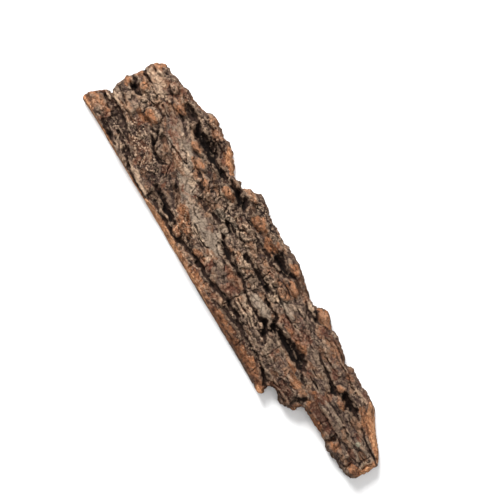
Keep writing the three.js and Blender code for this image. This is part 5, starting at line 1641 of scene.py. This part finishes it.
@dataclass(frozen=True)
class CorkGrain:
    """Patterns of cork, built once as a node group that the material draws on."""

    swirl: float = 1.6  # size of the swirls that bend the grains, in millimetres
    grain: float = 0.85  # size of a grain
    chip: float = 2.6  # and of the chips between fine cracks
    chip_stretch: Triple = (0.6, 1, 1)
    crack_edge: Span = (0.09, 0)
    coarse: Weave = Weave(3.2, 4, 0.62)
    fine: Weave = Weave(1, 4, 0.7)
    streak: Weave = Weave(1.5, 3, 0.65, 0.33, 0.67, (0.11, 1, 1))
    small: Weave = Weave(0.8, 5, 0.75)
    long: Weave = Weave(0.8, 3, 0.6, stretch=(0.2, 1, 1))
    long_height: float = 0.4  # height of the long ridges and of the grains, as shares of the small noise's
    grain_height: float = 0.7

    def build(self) -> bpy.types.NodeTree:
        """Makes the group.

        Returns:
            The group: coarse and fine noise, a tone for each grain, streaks, fine cracks and a relief.
        """
        tree = bpy.data.node_groups.new("cork_grain", "ShaderNodeTree")
        tree.interface.new_socket("Place", in_out="INPUT", socket_type="NodeSocketVector")
        for name in ("Coarse", "Fine", "Tone", "Streak", "Crackle", "Relief"):
            tree.interface.new_socket(name, in_out="OUTPUT", socket_type="NodeSocketFloat")
        s = Sketch(tree)
        place = s.add("NodeGroupInput").outputs["Place"]
        swirl = {"Vector": place, "Scale": 1 / (self.swirl * MM), "Detail": 2.0}
        swirl = s.add("ShaderNodeTexNoise", swirl).outputs["Color"]
        shift = s.add("ShaderNodeVectorMath", {0: swirl, 1: (MEAN,) * 3}, operation="SUBTRACT").outputs[0]
        bent = {0: shift, 1: (MM,) * 3, 2: place}
        bent = s.add("ShaderNodeVectorMath", bent, operation="MULTIPLY_ADD").outputs[0]
        grains = s.add("ShaderNodeTexVoronoi", {"Vector": bent, "Scale": 1 / (self.grain * MM)}).outputs
        chips = {"Vector": s.stretched(bent, self.chip_stretch), "Scale": 1 / (self.chip * MM)}
        edge = s.add("ShaderNodeTexVoronoi", chips, feature="DISTANCE_TO_EDGE").outputs["Distance"]
        crackle = s.step(edge, *self.crack_edge)
        ridges = s.times(s.noise(place, self.long), self.long_height)
        relief = s.less(s.plus(s.noise(place, self.small), ridges), crackle)
        relief = s.less(relief, s.times(grains["Distance"], self.grain_height))
        s.add("NodeGroupOutput", {
            "Coarse": s.noise(place, self.coarse),
            "Fine": s.noise(place, self.fine),
            "Tone": s.add("ShaderNodeSeparateColor", {0: grains["Color"]}).outputs[0],
            "Streak": s.woven(bent, self.streak),
            "Crackle": crackle,
            "Relief": relief,
        })
        return tree


@dataclass(frozen=True)
class CorkFinish:
    """Colours, wear, painted shade and highlight, and gloss of raw cork bark."""

    # weathered skin, from dark to light
    umber: Colour = (47, 36, 31)
    plum: Colour = (81, 63, 56)
    taupe: Colour = (128, 108, 91)
    deep_tones: Span = (-0.1, 0.5)
    light_tones: Span = (0.3, 1)
    tone_wear: Span = (1, 1)
    grain_tone: float = 0.15
    # painted shade and light: the tone drops in hollows and rises on raised places
    painted_relief_shading: float = 0.1
    # the dark patches lower the tone: partly the bark's own dark, partly painted shade
    dark_tone: float = 0.3
    streak_tone: float = 0.7
    # pale tints show more on crests and less in dips: partly wear, partly painted highlight and shade
    pale_crest_wear_and_highlight: float = 0.3

    # tints that lie over it, and painted shade
    tan: Colour = (134, 94, 67)
    tan_veil: Veil = Veil(1, 0.6, 0.5, 0.85, 0.6)
    russet: Colour = (108, 62, 44)
    russet_veil: Veil = Veil(0.9, 0.6, 0.2, 1, 0.6)
    russet_spots: Weave = Weave(9, 3, 0.6, 0.5, 0.66)
    ash: Colour = (148, 132, 115)
    cream: Colour = (198, 168, 140)
    pale_veil: Veil = Veil(0.8, 0.9, 0.3, 1.1, 0.8)
    shadow: Colour = (42, 32, 28)
    shadow_veil: Veil = Veil(0.7, 0.6, 0, 1.3, 0.8)
    lichen: Colour = (142, 142, 122)
    lichen_veil: Veil = Veil(0.8, 0.8, 0.4, 0.8, 0.6)

    # fresh cork and clean cuts
    fresh_deep: Colour = (99, 61, 41)
    fresh_light: Colour = (174, 117, 79)
    fresh_clouds: Weave = Weave(2.2, 4, 0.6, 0.3, 0.7)
    fresh_wear: Span = (0.6, 0.7)
    fresh_veil: Veil = Veil(0.9, 0.8, 0.25, 1, 0.78)
    cut_deep: Colour = (162, 106, 72)
    cut_light: Colour = (218, 162, 118)
    cut_streaks: Weave = Weave(1.1, 3, 0.6, stretch=(0.12, 0.8, 1))
    cut_grain: Veil = Veil(0.3, 0.4, 0.35, 0.65)
    cut_veil: Veil = Veil(0.8, 0.5, 0.35, 0.8, 0.85)

    # dirt and painted shade in cracks and dips, painted shade in the furrows, and crests paler from wear and
    # painted highlight
    dirt_and_shade: Colour = (26, 19, 16)
    gap_dirt_and_shade: float = 0.85
    dip_dirt_and_shade: float = 0.65
    dips: Span = (-0.05, -0.65)
    crackle_dirt_and_shade: float = 0.25
    broken_dirt_and_shade: float = 0.45
    # painted shade on furrow banks, and black painted shadow on their floors
    bank: Colour = (54, 40, 34)
    bank_shade_veil: Veil = Veil(0.5, 0.4, 0, 0.6, 0.8)
    furrow_shade: Colour = (18, 13, 11)
    furrow_shade_veil: Veil = Veil(0.5, 0.4, 0.25, 0.95, 0.95)
    crests: Span = (0.05, 0.45)
    # paler crests: partly wear, partly painted highlight
    crest_wear_and_highlight: float = 0.18
    fresh_crest_wear_and_highlight: float = 0.12

    # layers on the edge
    layer_dark: Colour = (60, 46, 39)
    layer_light: Colour = (114, 90, 74)
    layers: Weave = Weave(0.75, 3, 0.6, 0.36, 0.62, (0.05, 0.05, 1))
    layer_share: float = 0.5
    speckles: Span = (0.3, 0.7)
    layer_wear: Span = (0.8, 0.8)
    bare_veil: Veil = Veil(0.8, 0.6, 0.15, 0.8, 0.9)
    stain: Weave = Weave(5, 4, 0.6, 0.5, 0.64, (0.4, 0.4, 1))
    stain_share: float = 0.5
    flank_veil: Veil = Veil(0.6, 0.6, 0.25, 0.75)

    # inner face
    belly_dark: Colour = (112, 76, 52)
    belly_light: Colour = (172, 126, 90)
    belly_grain: Weave = Weave(1.3, 4, 0.6, 0.32, 0.66, (0.12, 1, 1))
    pores: Weave = Weave(1.6, 2, 0.5, 0.62, 0.7, (0.4, 1, 1))
    pore_share: float = 0.7

    # light and dark grains all over
    mottle: float = 0.15
    grainy_mottle: float = 0.35
    calm_mottle: float = 0.12
    mottle_depth: Span = (0.7, 0.1)
    light_grains: Span = (0.72, 0.95)
    dark_grains: Span = (0.35, 0.05)
    dark_share: float = 1.3

    roughness: float = 0.92
    gloss: float = 0.08
    bump: float = 0.75
    bump_height: float = 0.6  # in millimetres


class CorkMaterial:
    """Weathered skin, fresh cork, flank and inner face in one material."""

    def __init__(self, finish: CorkFinish, grain: bpy.types.NodeTree) -> None:
        """Keeps the finish and the shared patterns.

        Args:
            finish: Colours, wear, painted shade and gloss.
            grain: The group of shared patterns.
        """
        self.finish, self.grain = finish, grain

    def build(self, name: str) -> bpy.types.Material:
        """Makes the material.

        Args:
            name: Its name.

        Returns:
            The material.
        """
        material = bpy.data.materials.new(name)
        material.use_nodes = True
        material.node_tree.nodes.clear()
        self.sketch = s = Sketch(material.node_tree)
        self.place = s.add("ShaderNodeTexCoord").outputs["Object"]
        self.pattern = s.add("ShaderNodeGroup", {"Place": self.place}, node_tree=self.grain).outputs
        for layer in (self._skin, self._fresh, self._shade, self._flank, self._belly, self._mottle):
            layer()
        inputs = {"Base Color": self.colour, "Roughness": self.finish.roughness}
        shader = s.add("ShaderNodeBsdfPrincipled", inputs)
        shader.inputs["Specular IOR Level"].default_value = self.finish.gloss
        bump = s.add("ShaderNodeBump", {"Height": self.pattern["Relief"], "Strength": self.finish.bump})
        bump.inputs["Distance"].default_value = self.finish.bump_height * MM
        s.tree.links.new(bump.outputs[0], shader.inputs["Normal"])
        s.add("ShaderNodeOutputMaterial", {"Surface": shader.outputs[0]})
        return material

    def _uneven(self, value: Socket, coarse: float, fine: float) -> Socket:
        """Breaks up a value with the shared patterns.

        Args:
            value: The value.
            coarse: How far the coarse pattern moves it.
            fine: How far the fine pattern does.

        Returns:
            The uneven value.
        """
        s = self.sketch
        worn = s.times(s.less(self.pattern["Coarse"], MEAN), coarse)
        speckled = s.times(s.less(self.pattern["Fine"], MEAN), fine)
        return s.plus(value, s.plus(worn, speckled))

    def _laid(self, under: Socket | Colour, over: Socket | Colour, mask: Socket, veil: Veil) -> Socket:
        """Lays a colour over another where a mask is high, with a ragged border.

        Args:
            under: What lies beneath.
            over: What is laid on it.
            mask: Where.
            veil: How the mask becomes a layer.

        Returns:
            The layered colour.
        """
        s = self.sketch
        share = s.step(self._uneven(mask, veil.coarse, veil.fine), veil.low, veil.high)
        return s.mix(s.times(share, veil.strength), under, over)

    def _lay(self, over: Socket | Colour, mask: Socket, veil: Veil) -> None:
        """Lays a colour over all that is there so far."""
        self.colour = self._laid(self.colour, over, mask, veil)

    def _skin(self) -> None:
        """Starts with the weathered outer face."""
        f, s = self.finish, self.sketch
        streak = s.times(s.less(self.pattern["Streak"], MEAN), s.mask("streaked"))
        streak = s.times(streak, f.streak_tone)
        tone = s.plus(s.mask("tint"), s.times(self.pattern["Tone"], f.grain_tone))
        # painted shade in hollows and painted light on rises
        tone = s.plus(self._uneven(tone, *f.tone_wear), s.times(s.mask("hollow"), f.painted_relief_shading))
        # dark patches darken the tone, partly as painted shade
        tone = s.plus(s.less(tone, s.times(s.mask("dark"), f.dark_tone)), streak)
        colour = s.mix(s.step(tone, *f.deep_tones), f.umber, f.plum)
        self.colour = s.mix(s.step(tone, *f.light_tones), colour, f.taupe)
        self._lay(f.tan, s.mask("hue"), f.tan_veil)
        red = s.plus(s.woven(self.place, f.russet_spots), s.mask("russet"))
        self._lay(f.russet, red, f.russet_veil)
        veil = f.pale_veil
        for name, light in (("ash", f.ash), ("cream", f.cream)):
            pale = self._uneven(s.mask(name), veil.coarse, veil.fine)
            # pale tints stronger on crests: partly wear, partly painted highlight
            pale = s.plus(s.plus(pale, s.times(s.mask("cavity"), f.pale_crest_wear_and_highlight)), streak)
            pale = s.times(s.step(pale, veil.low, veil.high), veil.strength)
            self.colour = s.mix(pale, self.colour, light)
        # painted shade in hollows and beside furrows, over the bark's own dark patches
        self._lay(f.shadow, s.mask("dark"), f.shadow_veil)
        self._lay(f.lichen, s.mask("lichen"), f.lichen_veil)

    def _fresh(self) -> None:
        """Adds orange cork where the skin is gone, and the lighter clean cuts."""
        f, s = self.finish, self.sketch
        share = self._uneven(s.woven(self.place, f.fresh_clouds), *f.fresh_wear)
        self._lay(s.mix(share, f.fresh_deep, f.fresh_light), s.mask("fresh"), f.fresh_veil)
        clean = self._laid(f.cut_deep, f.cut_light, s.noise(self.place, f.cut_streaks), f.cut_grain)
        self._lay(clean, s.mask("cut"), f.cut_veil)

    def _shade(self) -> None:
        """Adds dirt and painted shade in cracks and dips, painted shade in the furrows, and crests paler from
        wear and painted highlight.
        """
        f, s = self.finish, self.sketch
        outer = s.less(1.0, s.most(s.mask("belly"), s.mask("flank")))
        # dirt and painted shade in dips, gaps and fine cracks
        low = s.times(s.step(s.mask("cavity"), *f.dips), f.dip_dirt_and_shade)
        broken = s.plus(f.crackle_dirt_and_shade, s.times(s.mask("cracked"), f.broken_dirt_and_shade))
        crackle = s.times(self.pattern["Crackle"], broken)
        dirt_and_shade = s.most(s.times(s.mask("gap"), f.gap_dirt_and_shade), s.most(low, crackle))
        self.colour = s.mix(s.times(dirt_and_shade, outer), self.colour, f.dirt_and_shade)
        # painted shade on furrow banks and black painted shadow on their floors
        self._lay(f.bank, s.mask("depth"), f.bank_shade_veil)
        self._lay(f.furrow_shade, s.mask("core"), f.furrow_shade_veil)
        # crests paler: partly wear, partly painted highlight
        crest_light = s.less(f.crest_wear_and_highlight, s.times(s.mask("fresh"), f.fresh_crest_wear_and_highlight))
        crest = s.times(s.step(s.mask("cavity"), *f.crests), s.times(outer, crest_light))
        self.colour = s.mix(crest, self.colour, f.cream)

    def _flank(self) -> None:
        """Adds layers of cork on the edge: brown where it is old, orange where it is fresh."""
        f, s = self.finish, self.sketch
        layers = s.times(s.woven(self.place, f.layers), f.layer_share)
        speckle = s.times(s.step(self.pattern["Fine"], *f.speckles), 1 - f.layer_share)
        share = s.plus(layers, speckle)
        old = s.mix(share, f.layer_dark, f.layer_light)
        pale = s.mix(s.mask("cut"), f.fresh_light, f.cut_light)
        new = s.mix(self._uneven(share, *f.layer_wear), f.fresh_deep, pale)
        side = self._laid(old, new, s.most(s.mask("fresh"), s.mask("cut")), f.bare_veil)
        side = s.mix(s.times(s.woven(self.place, f.stain), f.stain_share), side, f.umber)
        self._lay(side, s.mask("flank"), f.flank_veil)

    def _belly(self) -> None:
        """Adds the smoother inner face, with its grain and pores."""
        f, s = self.finish, self.sketch
        skin = s.mix(s.woven(self.place, f.belly_grain), f.belly_dark, f.belly_light)
        skin = s.mix(s.times(s.woven(self.place, f.pores), f.pore_share), skin, f.umber)
        self.colour = s.mix(s.mask("belly"), self.colour, skin)

    def _mottle(self) -> None:
        """Adds light and dark grains all over, strongest where the bark is crumbly."""
        f, s = self.finish, self.sketch
        strength = s.plus(f.mottle, s.times(s.mask("grainy"), f.grainy_mottle))
        strength = s.less(strength, s.times(s.mask("calm"), f.calm_mottle))
        strength = s.times(strength, s.step(s.mask("depth"), *f.mottle_depth))
        light = s.times(s.step(self.pattern["Tone"], *f.light_grains), strength)
        colour = s.mix(light, self.colour, f.cream)
        dark = s.times(s.step(self.pattern["Tone"], *f.dark_grains), s.times(strength, f.dark_share))
        self.colour = s.mix(dark, colour, f.dirt_and_shade)


@dataclass(frozen=True)
class Softbox:
    """A soft light that faces the slab."""

    name: str
    right: float  # where it stands as seen in the picture, in metres
    up: float
    height: float
    size: float
    power: float  # in watts


@dataclass(frozen=True)
class Studio:
    """Pale floor, soft light, and the camera at the photograph's angle."""

    view_width: float = 255.0  # what the picture takes in, in millimetres
    view_middle: Span = (-7.96, 7.08)
    turn: float = 58.0  # degrees that the slab is turned in the picture
    lens: float = 100.0
    sensor: float = 36.0
    face_height: float = 5.0  # height that the view is measured at
    floor_half: float = 3.0  # half the floor's width, in metres
    floor_tone: float = 0.86
    floor_roughness: float = 0.9
    floor_gloss: float = 0.1
    sky: float = 0.29  # strength of the even light from all round
    softboxes: tuple[Softbox, ...] = (
        Softbox("key_light", -0.25, 0.9, 0.78, 0.5, 27.5),
        Softbox("overhead_light", 0, 0, 1.6, 1.4, 10.5),
        Softbox("fill_light", 0.9, -0.4, 0.8, 0.8, 3),
    )

    def build(self) -> None:
        """Makes the floor, the lights and the camera."""
        self._floor()
        self._camera()
        self._lights()

    def _floor(self) -> None:
        """A wide pale floor."""
        half = self.floor_half
        places = np.array([(-half, -half, 0), (half, -half, 0), (half, half, 0), (-half, half, 0)])
        floor = mesh_object("studio_floor", places, np.array([[0, 1, 2, 3]]))
        material = bpy.data.materials.new("studio_floor")
        material.use_nodes = True
        inputs = material.node_tree.nodes["Principled BSDF"].inputs
        inputs["Base Color"].default_value = (*[self.floor_tone] * 3, 1)
        inputs["Roughness"].default_value = self.floor_roughness
        inputs["Specular IOR Level"].default_value = self.floor_gloss
        floor.data.materials.append(material)

    def _camera(self) -> None:
        """Looks straight down, turned so that the slab lies as in the picture."""
        data = bpy.data.cameras.new("camera")
        data.lens, data.sensor_width = self.lens, self.sensor
        camera = placed("camera", data)
        distance = self.view_width * self.lens / self.sensor
        x, y = self.view_middle
        camera.location = (x * MM, y * MM, (distance + self.face_height) * MM)
        camera.rotation_euler = (0, 0, math.radians(self.turn))
        bpy.context.scene.camera = camera

    def _lights(self) -> None:
        """A key from the top of the picture, a wide overhead, a weak fill from below it, and an even sky."""
        turn = math.radians(self.turn)
        up = Vector((-math.sin(turn), math.cos(turn), 0))
        right = Vector((math.cos(turn), math.sin(turn), 0))
        for box in self.softboxes:
            data = bpy.data.lights.new(box.name, "AREA")
            data.size, data.energy = box.size, box.power
            light = placed(box.name, data)
            light.location = up * box.up + right * box.right + Vector((0, 0, box.height))
            light.rotation_euler = (-light.location).to_track_quat("-Z", "Y").to_euler()
        world = bpy.data.worlds.new("studio")
        world.use_nodes = True
        inputs = world.node_tree.nodes["Background"].inputs
        inputs["Color"].default_value = (1, 1, 1, 1)
        inputs["Strength"].default_value = self.sky
        bpy.context.scene.world = world
        bpy.context.scene.view_settings.view_transform = "Standard"


def main() -> None:
    """Builds the dressed slab and its studio."""
    logging.basicConfig(level=logging.INFO, format="%(name)s: %(message)s")
    plan = Plan()
    noise = Noise(seed=7)
    rim = Rim(plan)
    LOG.info("outline measured")
    face = OuterFace(plan, noise)
    LOG.info("outer face relieved")
    slab = Bark(plan, rim, face, noise)
    bark = slab.build()
    slab.dress(bark)
    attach(bark, BODY)
    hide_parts(NODE)
    LOG.info("cork_bark_skin: %d faces", len(bark.data.polygons))
    Studio().build()
    LOG.info("studio set")


if __name__ == "__main__":
    main()
